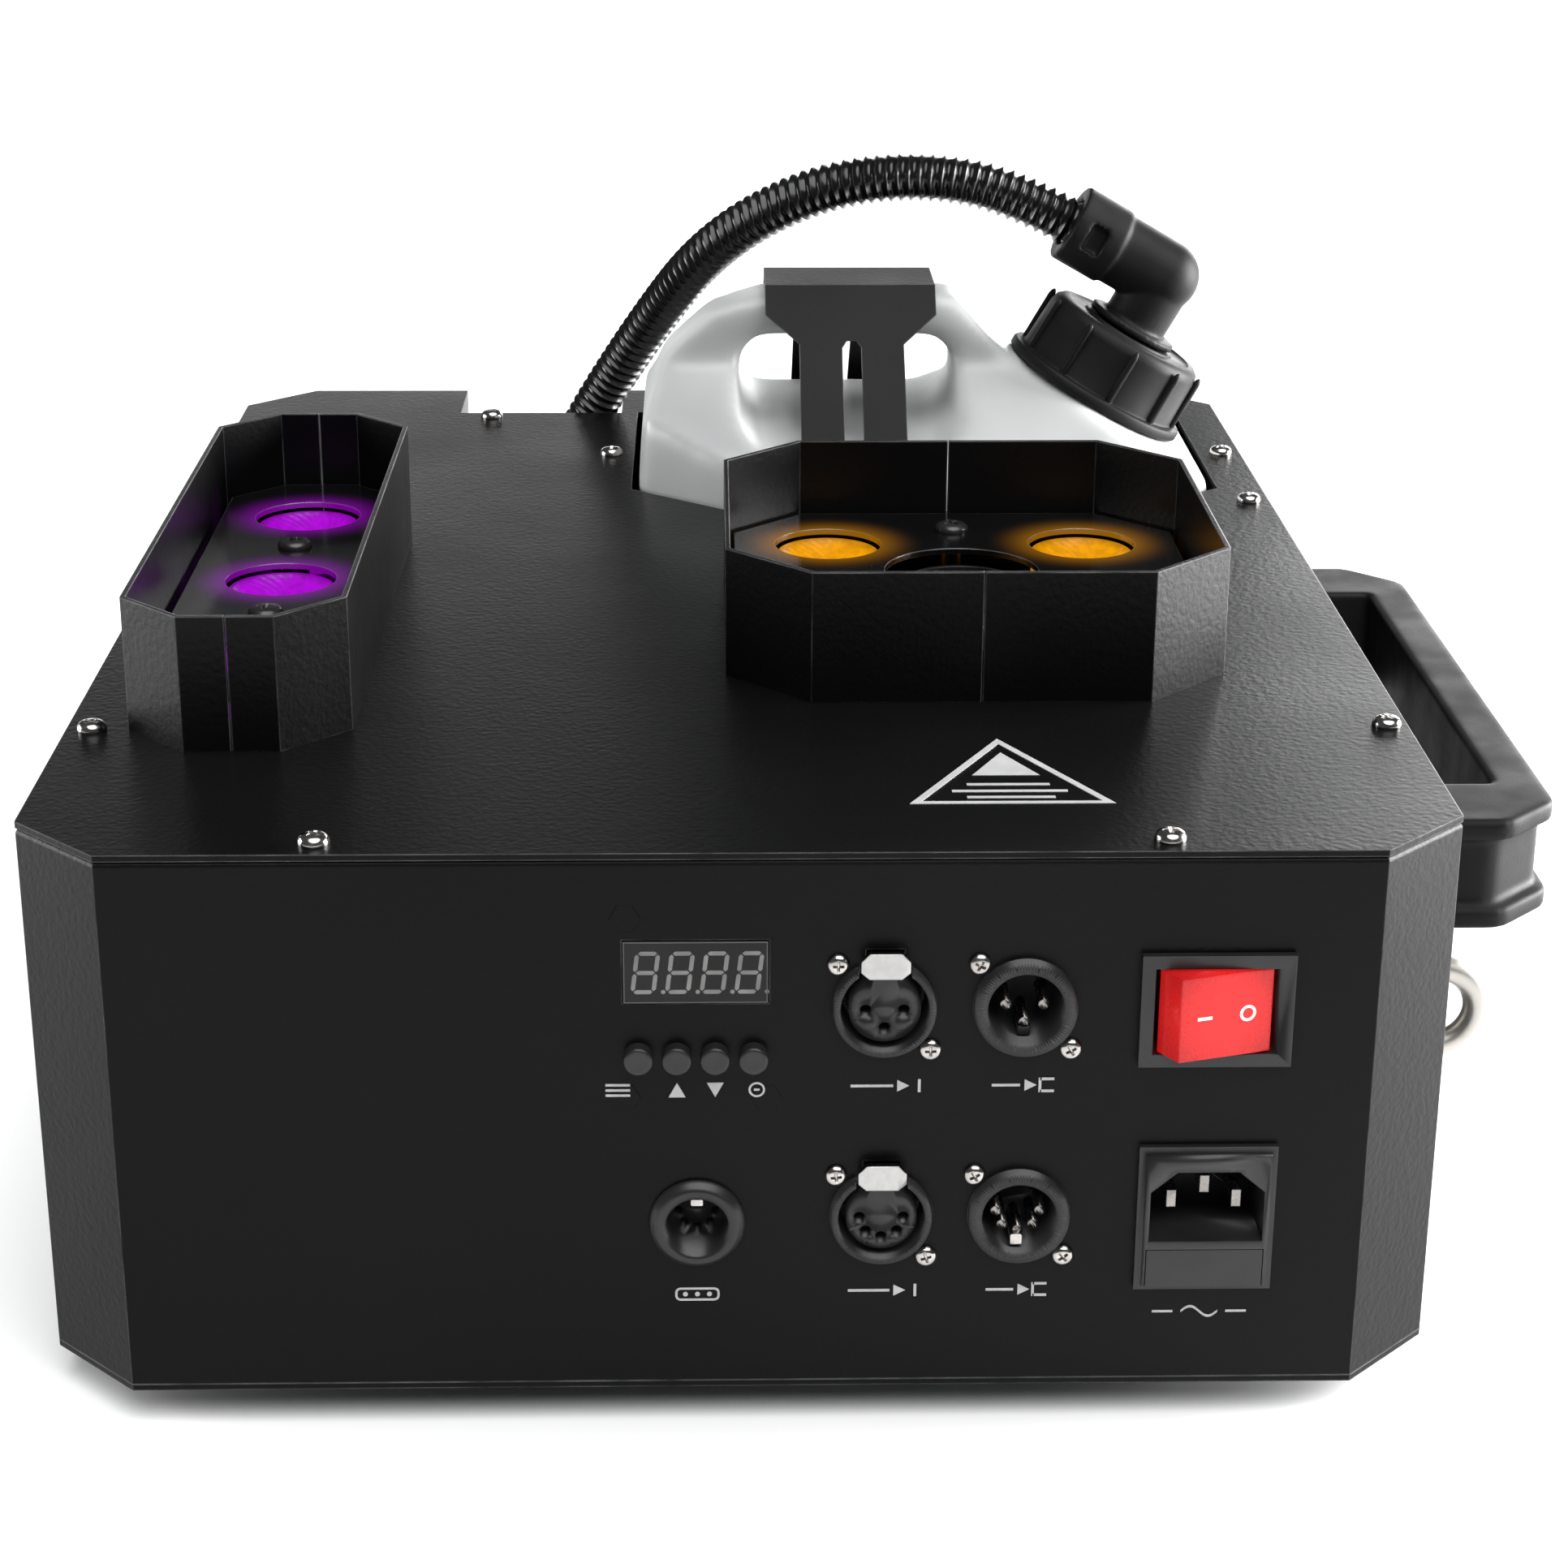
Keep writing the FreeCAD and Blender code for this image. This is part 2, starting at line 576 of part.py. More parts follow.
def lenses(node, spots):
    """Facetted cups with a dished face, one for each light-emitting diode."""
    pieces = []
    for x, y in spots:
        cup = turned([("0", "0"), ("5", "0"), ("lens_radius - 1.2", "9"), ("lens_radius - 0.3", "9.5"),
                      ("lens_radius - 0.3", "17"), ("lens_radius - 1.3", "17"), ("lens_radius - 2.3", "14"),
                      ("0", "11.6")])
        place(cup, (x, y, "cover_top - 7"))
        pieces.append(cup)
    sub_part(node, group(pieces))


def led_board(node, low, high, hole):
    """Circuit board under the lenses, hung from the cover on four posts."""
    (x0, y0), (x1, y1) = low, high
    board = block((x0, y0, "cover_top - 8.6"), (x1, y1, "cover_top - 7"))
    if hole:
        board = cut(board, [rod((hole[0], hole[1], "cover_top - 10"), "shroud_radius + 2", "5")])
    posts = [rod((x, y, "cover_top - 7"), "2", "7 - sheet_metal")
             for x in (f"{x0} + 3", f"{x1} - 3") for y in (f"{y0} + 3", f"{y1} - 3")]
    sub_part(node, fuse([board] + posts))


def heater():
    """Two cast halves round a heating element, its brackets, thermostat, nozzle and shroud."""
    x0 = "jet_x - heater_width / 2"
    x1 = "jet_x + heater_width / 2"
    y0 = "nozzle_y - heater_length / 2"
    y1 = "nozzle_y + heater_length / 2"
    middle = "heater_low + heater_half"
    top = "heater_low + 2 * heater_half"
    groove = [rod((f"{x0} - 1", "nozzle_y", middle), "element_radius + 0.05", "heater_width + 2", "x")]
    sub_part("heater_lower_half", cut(block((x0, y0, "heater_low"), (x1, y1, middle)), groove))
    groove = [rod((f"{x0} - 1", "nozzle_y", middle), "element_radius + 0.05", "heater_width + 2", "x")]
    bore = rod(("jet_x", "nozzle_y", f"{middle} + 8"), "2", "heater_half")
    sub_part("heater_upper_half", cut(block((x0, y0, middle), (x1, y1, top)), groove + [bore]))
    element = rod((f"{x0} - 9", "nozzle_y", middle), "element_radius", "heater_width + 18", "x")
    blades = [block((f"{x} ", "nozzle_y - 3", f"{middle} - 0.5"), (f"{x} + 9", "nozzle_y + 3", f"{middle} + 0.5"))
              for x in (f"{x0} - 17", f"{x1} + 8")]
    sub_part("heating_element", fuse([element] + blades))
    pieces = []
    for x in (f"{x0} + 6", f"{x1} - 26"):
        pieces.append(fuse([block((x, y0, "pan_top"), (f"{x} + 20", y1, "pan_top + 1.5")),
                            block((x, y0, "pan_top + 1"), (f"{x} + 1.5", y1, "heater_low - 1")),
                            block((x, y0, "heater_low - 1.5"), (f"{x} + 20", y1, "heater_low"))]))
    sub_part("heater_brackets", group(pieces))
    sub_part("thermostat", fuse([rod((f"{x0} + 16", f"{y0} + 14", top), "8", "6"),
                                 rod((f"{x0} + 16", f"{y0} + 14", f"{top} + 6"), "5.5", "5")]))
    spout = fuse([rod(("jet_x", "nozzle_y", top), "9", "8"),
                  cone(("jet_x", "nozzle_y", f"{top} + 8"), "7", "4", "14")])
    sub_part("fog_nozzle", cut(spout, [rod(("jet_x", "nozzle_y", f"{top} - 1"), "1", "30")]))
    shroud = fuse([rod(("jet_x", "nozzle_y", top), "shroud_radius", f"cover_top + 9 - ({top})"),
                   rod(("jet_x", "nozzle_y", top), "shroud_radius + 6", "1.5")])
    sub_part("nozzle_shroud", cut(shroud, [rod(("jet_x", "nozzle_y", f"{top} - 1"), "shroud_bore", "60")]))


def pump():
    """Solenoid pump: housing, sliding plunger and its return spring."""
    half = "pump_side / 2"
    housing = block((f"pump_x - {half}", f"pump_y - {half}", "16"), (f"pump_x + {half}", f"pump_y + {half}", "66"))
    feet = [block((f"pump_x - {half}", f"pump_y {a} {half} {b}", "pan_top"),
                  (f"pump_x + {half}", f"pump_y {a} {half} {c}", "17")) for a, b, c in (("-", "", "+ 2"), ("+", "- 2", ""))]
    nipples = [rod(("pump_x", "pump_y", "66"), "3.5", "10"), rod((f"pump_x + {half}", "pump_y", "24"), "3.5", "10", "x")]
    bores = [rod(("pump_x", "pump_y", "20"), "plunger_radius + plunger_clear", "38"),
             rod(("pump_x", "pump_y", "50"), "1.5", "30"), rod(("pump_x", "pump_y", "24"), "1.5", "40", "x")]
    sub_part("pump_housing", cut(fuse([housing] + feet + nipples), bores))
    sub_part("pump_plunger", cut(rod(("pump_x", "pump_y", "27"), "plunger_radius", "18"),
                                 [rod(("pump_x", "pump_y", "26"), "1.5", "30")]))
    sub_part("pump_spring", cut(rod(("pump_x", "pump_y", "45"), "plunger_radius - 0.6", "13"),
                                [rod(("pump_x", "pump_y", "44"), "plunger_radius - 1.6", "15")]))


def bottle_well():
    """Sheet tray that the bottle stands in."""
    inset = "-bottle_gap - well_gap"
    outer = plate([bottle_outline(f"({inset} - thin_sheet)")], [], "pan_top", "cover_under - pan_top")
    inner = plate([bottle_outline(f"({inset})")], [], "well_floor", "cover_under - well_floor + 1")
    sub_part("bottle_well", cut(outer, [inner]))


def bottle():
    """Moulded jerry bottle: the meeting of a front view, a side view and a plan."""
    x0 = "(bottle_x - bottle_width / 2)"
    x1 = "(bottle_x + bottle_width / 2)"
    top = "bottle_top"
    slope = "tan(neck_tilt * 1deg)"
    front = slab([(x0, "well_floor"), (x1, "well_floor"), (x1, f"neck_z - ({x1} - neck_x) * {slope} - 1"),
                  ("neck_x - 25", f"neck_z + 25 * {slope} - 1"),
                  ("neck_x - 32", f"neck_z + 25 * {slope} + 5"), (f"{x0} + 91", top), (f"{x0} + 37", top),
                  (f"{x0} + 20", f"{top} - 6"), (f"{x0} + 7", f"{top} - 18"), (f"{x0} + 1", f"{top} - 34"),
                  (x0, f"{top} - 50")], "bottle_y - bottle_depth", "bottle_depth * 2")
    y0 = "(bottle_y - bottle_depth / 2)"
    y1 = "(bottle_y + bottle_depth / 2)"
    g0 = "(bottle_y - grip_depth / 2)"
    g1 = "(bottle_y + grip_depth / 2)"
    side = profile([(y0, "well_floor"), (y1, "well_floor"), (y1, "cover_top + 5"), (f"{y1} - 6", "cover_top + 14"),
                    (g1, f"{top} - 21"), (g1, f"{top} - 3"), (f"{g1} - 4", top), (f"{g0} + 4", top),
                    (g0, f"{top} - 3"), (g0, f"{top} - 21"), (f"{y0} + 6", "cover_top + 14"),
                    (y0, "cover_top + 5")], "bottle_x - bottle_width", "bottle_width * 2")
    plan = plate([bottle_outline("0")], [], "well_floor - 1", "bottle_top")
    hole = slab([(f"{x0} + 35", f"{top} - 39"), (f"{x0} + 84", f"{top} - 39"), (f"{x0} + 91", f"{top} - 33"),
                 (f"{x0} + 91", f"{top} - 17.5"), (f"{x0} + 86", f"{top} - 12.5"), (f"{x0} + 34", f"{top} - 12.5"),
                 (f"{x0} + 29", f"{top} - 18"), (f"{x0} + 29", f"{top} - 33")], "bottle_y - bottle_depth",
                "bottle_depth * 2")
    shoulder = cone(("0", "0", "-24"), "33", "neck_radius + 5", "23.6")
    neck = rod(("0", "0", "-2"), "neck_radius", "17.6")
    boss = fuse([shoulder, neck])
    boss.Placement.Rotation = FreeCAD.Rotation(FreeCAD.Vector(0, 1, 0), value("neck_tilt"))
    bind(boss, "Placement.Rotation.Angle", "neck_tilt")
    place(boss, ("neck_x", "bottle_y", "neck_z"))
    sub_part("bottle", cut(fuse([common([front, side, plan]), boss]), [hole]))


def bottle_cap():
    """Screw cap with grip ribs; it turns about the leaning neck."""
    shell = fuse([rod(("0", "0", "0"), "cap_flange", "3.2"), cone(("0", "0", "3"), "cap_radius", "cap_radius - 0.8",
                                                               "cap_height - 3")]
                 + [rib(index) for index in range(10)])
    room = rod(("0", "0", "-1"), "neck_radius + turning_gap", "cap_height - 2.4")
    hole = rod(("0", "0", "0"), "elbow_radius + turning_gap", "cap_height + 2")
    sub_part("bottle_cap", cut(shell, [room, hole]), tilted=True)


def rib(index):
    """One upright grip rib of the cap."""
    thing = block(("0", "-1.6", "3"), ("cap_radius + 1.4", "1.6", "cap_height - 1.2"))
    thing.Placement.Rotation = FreeCAD.Rotation(FreeCAD.Vector(0, 0, 1), 36 * index)
    bind(thing, "Placement.Base.x", f"1.6 * sin({36 * index} * 1deg)")
    bind(thing, "Placement.Base.y", f"-1.6 * cos({36 * index} * 1deg)")
    bind(thing, "Placement.Base.z", "3")
    return thing


def elbow():
    """Conduit elbow that stands on the cap and holds the hose end in its collar."""
    top = "cap_height + turning_gap"
    corner = "cap_height + elbow_rise"
    arm = [rod(("-elbow_reach", "0", corner), "elbow_arm", "elbow_reach", "x"),
           rod(("-elbow_reach", "0", corner), "collar_radius", "15", "x")]
    leg = [rod(("0", "0", f"{top} - 4.2"), "elbow_radius", f"{corner} - ({top}) + 4.2"),
           rod(("0", "0", top), "elbow_radius + 4", "2.2")]
    knee = document.addObject("Part::Sphere", "knee")
    bind(knee, "Radius", "elbow_arm")
    place(knee, ("0", "0", corner))
    socket = rod(("-elbow_reach - 1", "0", corner), "hose_radius + 0.15", "13", "x")
    window = block(("-elbow_reach + 4.5", "-20", f"{corner} - 4"),
                   ("-elbow_reach + 10", "-collar_radius + 2.7", f"{corner} + 4"))
    sub_part("hose_elbow", cut(fuse(arm + leg + [knee]), [socket, window]), tilted=True)


def clamp():
    """Bent strap over the bottle's handle, slotted down both legs, with its screws."""
    rise = "(bottle_top + 1.2)"
    g0 = "(bottle_y - grip_depth / 2)"
    g1 = "(bottle_y + grip_depth / 2)"
    run = f"(({rise} - cover_top) / tan(clamp_slope * 1deg))"
    skew = "(clamp_sheet / sin(clamp_slope * 1deg))"
    strap = profile([(f"{g0} - {run} - clamp_foot", "cover_top"), (f"{g0} - {run}", "cover_top"), (g0, rise),
                     (g1, rise), (f"{g1} + {run}", "cover_top"), (f"{g1} + {run} + clamp_foot", "cover_top"),
                     (f"{g1} + {run} + clamp_foot", "cover_top + clamp_sheet"),
                     (f"{g1} + {run} + 0.36 * clamp_sheet", "cover_top + clamp_sheet"),
                     (f"{g1} + 0.36 * clamp_sheet", f"{rise} + clamp_sheet"),
                     (f"{g0} - 0.36 * clamp_sheet", f"{rise} + clamp_sheet"),
                     (f"{g0} - {run} - 0.36 * clamp_sheet", "cover_top + clamp_sheet"),
                     (f"{g0} - {run} - clamp_foot", "cover_top + clamp_sheet")],
                    "clamp_x - clamp_width / 2", "clamp_width")
    knee = f"{rise} - 5.5"
    waist = f"{rise} - 12.4"
    tools = []
    for side in ("-", "+"):
        edge = f"clamp_x {side} clamp_leg_width / 2"
        out = f"clamp_x {side} (clamp_width / 2 + 1)"
        corner = f"clamp_x {side} clamp_width / 2"
        tools.append(slab([(edge, "cover_top - 1"), (edge, waist), (corner, knee), (out, knee), (out, "cover_top - 1")],
                          "0", "body_length + 20"))
    tools.append(slab([("clamp_x - clamp_slot / 2", "cover_top + 8"), ("clamp_x + clamp_slot / 2", "cover_top + 8"),
                       ("clamp_x + clamp_slot / 2", f"{waist} - 0.8"), ("clamp_x + clamp_slot / 4", f"{waist} + 0.8"),
                       ("clamp_x - clamp_slot / 4", f"{waist} + 0.8"), ("clamp_x - clamp_slot / 2", f"{waist} - 0.8")],
                      "0", "body_length + 20"))
    tools += [rod((x, y, "cover_top - 1"), "1.7", "6") for x, y in CLAMP_SCREWS]
    sub_part("bottle_clamp", cut(strap, tools))
    spots = [(x, y, "cover_top + clamp_sheet") for x, y in CLAMP_SCREWS]
    sub_part("clamp_screws", screws(spots, "3.2", "2.2", "1.4", "9", "z"))


def side_handle():
    """Rigid moulded handle: two flanges with a set-back web, open towards the case."""
    def outline(inset):
        x0 = "half_width"
        x1 = f"(half_width + handle_reach - {inset})"
        y0 = f"(handle_front + {inset})"
        y1 = f"(handle_front + handle_length - {inset})"
        slot = "(half_width + handle_slot)"
        return [(x0, y0), (f"{x1} - 14", y0), (x1, f"{y0} + 14"), (x1, f"{y1} - 14"), (f"{x1} - 14", y1), (x0, y1),
                (x0, "handle_front + handle_length - handle_end"), (slot, "handle_front + handle_length - handle_end"),
                (slot, "handle_front + handle_end"), (x0, "handle_front + handle_end")]
    levels = (("handle_low", "handle_flange", "0"),
              ("handle_low + handle_flange", "handle_height - 2 * handle_flange", "handle_groove"),
              ("handle_low + handle_height - handle_flange", "handle_flange", "0"))
    layers = [plate([outline(inset)], [], level, height) for level, height, inset in levels]
    for layer in layers:
        soften(layer, "8", lambda edge: upright(edge) and edge.CenterOfMass.x > value("half_width") + 20
               and outer_bend(edge))
    bolts = [rod(("half_width - 1", y, "handle_low + handle_height / 2"), "2.05", "13", "x") for y in HANDLE_BOLTS]
    sub_part("side_handle", cut(fuse(layers), bolts))


def upright(edge):
    """Whether an edge runs straight up."""
    box = edge.BoundBox
    return box.ZLength > 1 and box.XLength < 0.01 and box.YLength < 0.01


def outer_bend(edge):
    """Whether an upright edge of the handle is on its outer outline."""
    y = edge.CenterOfMass.y
    x = edge.CenterOfMass.x
    slot = value("half_width") + value("handle_slot")
    return abs(x - slot) > 0.01 or not (value("handle_front") + 20 < y < value("handle_front") + 180)


def eye_bolt():
    """Ring on a rod through the case wall, with a hexagon nut inside."""
    ring = document.addObject("Part::Torus", "ring")
    ring.Placement = FreeCAD.Placement(FreeCAD.Vector(), TURNS["y"])
    bind(ring, "Radius1", "eye_ring")
    bind(ring, "Radius2", "eye_rod")
    middle = "half_width + eye_ring + eye_rod + 1.2"
    place(ring, (middle, "eye_y", "eye_z"))
    shank = rod(("half_width - 12", "eye_y", "eye_z"), "eye_rod", f"{middle} - eye_ring - half_width + 12", "x")
    sub_part("eye_bolt", fuse([ring, shank]))
    nut = document.addObject("Part::Prism", "nut")
    nut.Polygon = 6
    nut.Placement = FreeCAD.Placement(FreeCAD.Vector(), TURNS["x"])
    bind(nut, "Circumradius", "eye_rod * 1.9")
    bind(nut, "Height", "5")
    place(nut, ("half_width - sheet_metal - 5", "eye_y", "eye_z"))
    nut = cut(nut, [rod(("half_width - 14", "eye_y", "eye_z"), "eye_rod + 0.05", "14", "x")])
    level = "handle_low + handle_height / 2"
    bolts = [fuse([rod(("half_width - sheet_metal - 3", y, level), "4.5", "3", "x"),
                   rod(("half_width - sheet_metal - 1", y, level), "2", "13", "x")]) for y in HANDLE_BOLTS]
    sub_part("side_fasteners", group([nut] + bolts))


def display_and_buttons():
    """Display, its board with the switches, and four push buttons."""
    x0 = "display_x - display_width / 2"
    x1 = "display_x + display_width / 2"
    sub_part("display_module", group([block((x0, "-0.3", "display_z - display_height / 2"),
                                            (x1, "8", "display_z + display_height / 2"))]))
    board = block((f"{x0} - 6", "8", "button_z - 8"), (f"{x1} + 6", "9.6", "display_z + display_height / 2 + 5"))
    middles = [f"button_first_x + {i} * button_pitch" for i in range(4)]
    switches = [block((f"{x} - 3", "4.2", "button_z - 3"), (f"{x} + 3", "8", "button_z + 3")) for x in middles]
    posts = [rod((f"{x0} - 3", "sheet_metal", z), "2", "8 - sheet_metal", "y")
             for z in ("button_z - 5", "display_z + display_height / 2 + 2")]
    posts += [rod((f"{x1} + 3", "sheet_metal", z), "2", "8 - sheet_metal", "y")
              for z in ("button_z - 5", "display_z + display_height / 2 + 2")]
    sub_part("control_board", fuse([board] + switches + posts))
    for index, x in enumerate(middles, 1):
        cap = fuse([rod((x, "-button_reach", "button_z"), "button_radius", "button_reach + sheet_metal + 0.6", "y"),
                    rod((x, "sheet_metal + 0.2", "button_z"), "button_radius + 0.9", "1", "y")])
        sub_part(f"button_{index}", cap)


def pin_spots(x, z, count):
    """Contact centres round a socket's axis."""
    if count == 3:
        return [(f"{x} - 4", f"{z} - 0.4"), (f"{x} + 4", f"{z} - 0.4"), (x, f"{z} - 4.4")]
    return [(f"{x} + 4.7 * cos({180 + 45 * i} * 1deg)", f"{z} + 4.7 * sin({180 + 45 * i} * 1deg)") for i in range(5)]


def rear_flange(x, z):
    """Square flange behind the panel that a signal socket is screwed through."""
    return block((f"{x} - 13", "sheet_metal", f"{z} - 13"), (f"{x} + 13", "sheet_metal + 2", f"{z} + 13"))


def flange_holes(x, z):
    """Holes for the two screws of a signal socket."""
    return [rod((f"{x} {a} screw_offset", "0", f"{z} {b} screw_offset"), "1.5", "6", "y")
            for a, b in (("-", "+"), ("+", "-"))]


def signal_sockets():
    """Two plugs with pins and two sockets with latch tabs, in two rows."""
    for count, z in ((3, "socket_high_z"), (5, "socket_low_z")):
        x = "socket_left_x"
        ring = fuse([rod((x, "-ring_reach", z), "ring_radius", "ring_reach + 20", "y"), rear_flange(x, z)])
        groove = cut(rod((x, "-ring_reach - 1", z), "insert_radius + 1.7", "12", "y"),
                     [rod((x, "-0.9", z), "insert_radius", "20", "y")])
        holes = [rod((a, "-3", b), "1.25", "11", "y") for a, b in pin_spots(x, z, count)]
        notch = block((f"{x} - 5.5", "-ring_reach - 1", f"{z} + 7.3"), (f"{x} + 5.5", "-0.2", f"{z} + 15"))
        stem_way = block((f"{x} - 3.3", "-1", f"{z} + 8.9"), (f"{x} + 3.3", "8", f"{z} + 12.1"))
        sub_part(f"socket_{count}_pole", cut(ring, [groove, notch, stem_way] + holes + flange_holes(x, z)))
        tab = slab([(f"{x} - 3.4", f"{z} + 7.7"), (f"{x} + 3.4", f"{z} + 7.7"), (f"{x} + 5.1", f"{z} + 9.2"),
                    (f"{x} + 5.1", f"{z} + 11.6"), (f"{x} + 3.4", f"{z} + 13.4"), (f"{x} - 3.4", f"{z} + 13.4"),
                    (f"{x} - 5.1", f"{z} + 11.6"), (f"{x} - 5.1", f"{z} + 9.2")], "-3.6", "1.6")
        stem = block((f"{x} - 3", "-2.2", f"{z} + 9.2"), (f"{x} + 3", "5.8", f"{z} + 11.8"))
        sub_part(f"latch_{count}_pole", fuse([tab, stem]))
        x = "socket_right_x"
        ring = fuse([rod((x, "-ring_reach", z), "ring_radius", "ring_reach + 20", "y"), rear_flange(x, z)])
        hollow = rod((x, "-ring_reach - 1", z), "socket_bore", "ring_reach + 13", "y")
        sub_part(f"plug_{count}_pole", cut(ring, [hollow] + flange_holes(x, z)))


def contact_pins():
    """Bright contacts of the two signal plugs and of the mains inlet."""
    pins = [rod((x, "1.5", z), "1.15", "10.5", "y") for count, row in ((3, "socket_high_z"), (5, "socket_low_z"))
            for x, z in pin_spots("socket_right_x", row, count)]
    pins += [block((f"mains_x {dx} - 1", "2", f"inlet_z {dz} - 2"), (f"mains_x {dx} + 1", "14", f"inlet_z {dz} + 2"))
             for dx, dz in (("- 7", "+ 3"), ("+ 7", "+ 3"), ("+ 0", "+ 6.5"))]
    sub_part("contact_pins", group(pins))


def remote_socket():
    """Round five-pole socket with a bevelled ring and a nut behind the panel."""
    x = "display_x"
    z = "remote_z"
    ring = fuse([cone((x, "-2.4", z), "remote_radius - 1.6", "remote_radius", "1.6", "y"),
                 rod((x, "-0.8", z), "remote_radius", "0.8", "y"),
                 rod((x, "-0.5", z), "remote_radius - 1.4", "16", "y"),
                 rod((x, "sheet_metal", z), "remote_radius + 1.5", "3", "y")])
    hollow = rod((x, "-4", z), "remote_bore", "9.5", "y")
    holes = [rod((f"{x} + 4 * cos({180 + 45 * i} * 1deg)", "3", f"{z} + 4 * sin({180 + 45 * i} * 1deg)"), "0.9", "9",
                 "y") for i in range(5)]
    sub_part("remote_socket", cut(ring, [hollow] + holes))


def mains_inlet():
    """Mains inlet with a stepped face, a keyed recess and a fuse drawer below it."""
    x0 = "mains_x - inlet_width / 2"
    x1 = "mains_x + inlet_width / 2"
    z0 = "inlet_z - inlet_height / 2"
    z1 = "inlet_z + inlet_height / 2"
    face = fuse([block((x0, "-1.6", z0), (x1, "0", z1)),
                 block((f"{x0} + 1.4", "-inlet_reach", f"{z0} + 1.4"), (f"{x1} - 1.4", "0", f"{z1} - 1.4")),
                 block((f"{x0} + 1.4", "-0.5", f"{z0} + 1.4"), (f"{x1} - 1.4", "32", f"{z1} - 1.4"))])
    recess = slab([("mains_x - 12.2", "inlet_z - 4.7"), ("mains_x + 12.2", "inlet_z - 4.7"),
                   ("mains_x + 12.2", "inlet_z + 7"), ("mains_x + 6.6", "inlet_z + 11.8"),
                   ("mains_x - 6.6", "inlet_z + 11.8"), ("mains_x - 12.2", "inlet_z + 7")], "-inlet_reach - 1", "18")
    way = block(("mains_x - drawer_width / 2 - 0.2", "-inlet_reach - 1", "drawer_z - drawer_height / 2 - 0.2"),
                ("mains_x + drawer_width / 2 + 0.2", "28", "drawer_z + drawer_height / 2 + 0.2"))
    sub_part("mains_inlet", cut(face, [recess, way]))
    plate_face = block(("mains_x - drawer_width / 2", "-inlet_reach", "drawer_z - drawer_height / 2"),
                       ("mains_x + drawer_width / 2", "-inlet_reach + 2", "drawer_z + drawer_height / 2"))
    floor = block(("mains_x - 11", "-inlet_reach + 1", "drawer_z - 3.6"), ("mains_x + 11", "25", "drawer_z + 3.6"))
    room = block(("mains_x - 10.2", "4", "drawer_z - 2.8"), ("mains_x + 10.2", "11", "drawer_z + 4"))
    sub_part("fuse_drawer", cut(fuse([plate_face, floor]), [room]))
    sub_part("glass_fuse", group([rod(("mains_x - 10", "7.5", "drawer_z - 0.2"), "2.5", "20", "x")]))


def rocker():
    """Rocker switch: framed body with terminals, and a tilted paddle on two pins."""
    x0 = "mains_x - rocker_window_x / 2"
    x1 = "mains_x + rocker_window_x / 2"
    z0 = "rocker_z - rocker_window_z / 2"
    z1 = "rocker_z + rocker_window_z / 2"
    frame = fuse([block(("mains_x - rocker_width / 2", "-bezel_reach", "rocker_z - rocker_height / 2"),
                        ("mains_x + rocker_width / 2", "0", "rocker_z + rocker_height / 2")),
                  block((f"{x0} - 0.7", "-1", f"{z0} - 1"), (f"{x1} + 0.7", "18", f"{z1} + 1"))]
                 + [block((f"mains_x {dx} - 2.4", "17", "rocker_z - 0.4"), (f"mains_x {dx} + 2.4", "26", "rocker_z + 0.4"))
                    for dx in ("- 8", "+ 0", "+ 8")])
    room = block((x0, "-4", z0), (x1, "15.5", z1))
    pins = rod(("mains_x", "rocker_pivot", f"{z0} - 0.7"), "1.55", "rocker_window_z + 1.4")
    sub_part("rocker_frame", cut(frame, [room, pins]))
    half = "(rocker_window_z / 2 - turning_gap)"
    body = document.addObject("PartDesign::Body", "paddle")
    outline = [("-paddle_half", "-paddle_face"), ("paddle_half", "-paddle_face"), ("paddle_half + 2", "1"), ("8", "7.5"),
               ("-8", "7.5"), ("-paddle_half - 2", "1")]
    pad(body, sketch_on(body, "XY_Plane", [outline], [], f"-{half}"), f"2 * {half}")
    axle = rod(("0", "0", f"-{half} - 0.9"), "1.5", f"2 * {half} + 1.8")
    paddle = fuse([body, axle])
    paddle.Placement.Rotation = FreeCAD.Rotation(FreeCAD.Vector(0, 0, 1), value("rocker_tilt"))
    bind(paddle, "Placement.Rotation.Angle", "rocker_tilt")
    place(paddle, ("mains_x", "rocker_pivot", "rocker_z"))
    sub_part("rocker_paddle", group([paddle]))


def power_boards():
    """Supply board and relay board, standing on the base behind the panel."""
    supply = fuse([block(("60", "48", "pan_top"), ("138", "98", "pan_top + 1.6")),
                   block(("66", "52", "pan_top + 1.5"), ("112", "94", "pan_top + 30")),
                   block(("116", "60", "pan_top + 1.5"), ("132", "86", "pan_top + 22"))])
    relay = fuse([block(("-60", "48", "pan_top"), ("20", "98", "pan_top + 1.6")),
                  block(("-52", "56", "pan_top + 1.5"), ("-24", "70", "pan_top + 20")),
                  block(("-10", "56", "pan_top + 1.5"), ("12", "90", "pan_top + 14"))])
    sub_part("power_boards", group([supply, relay]))


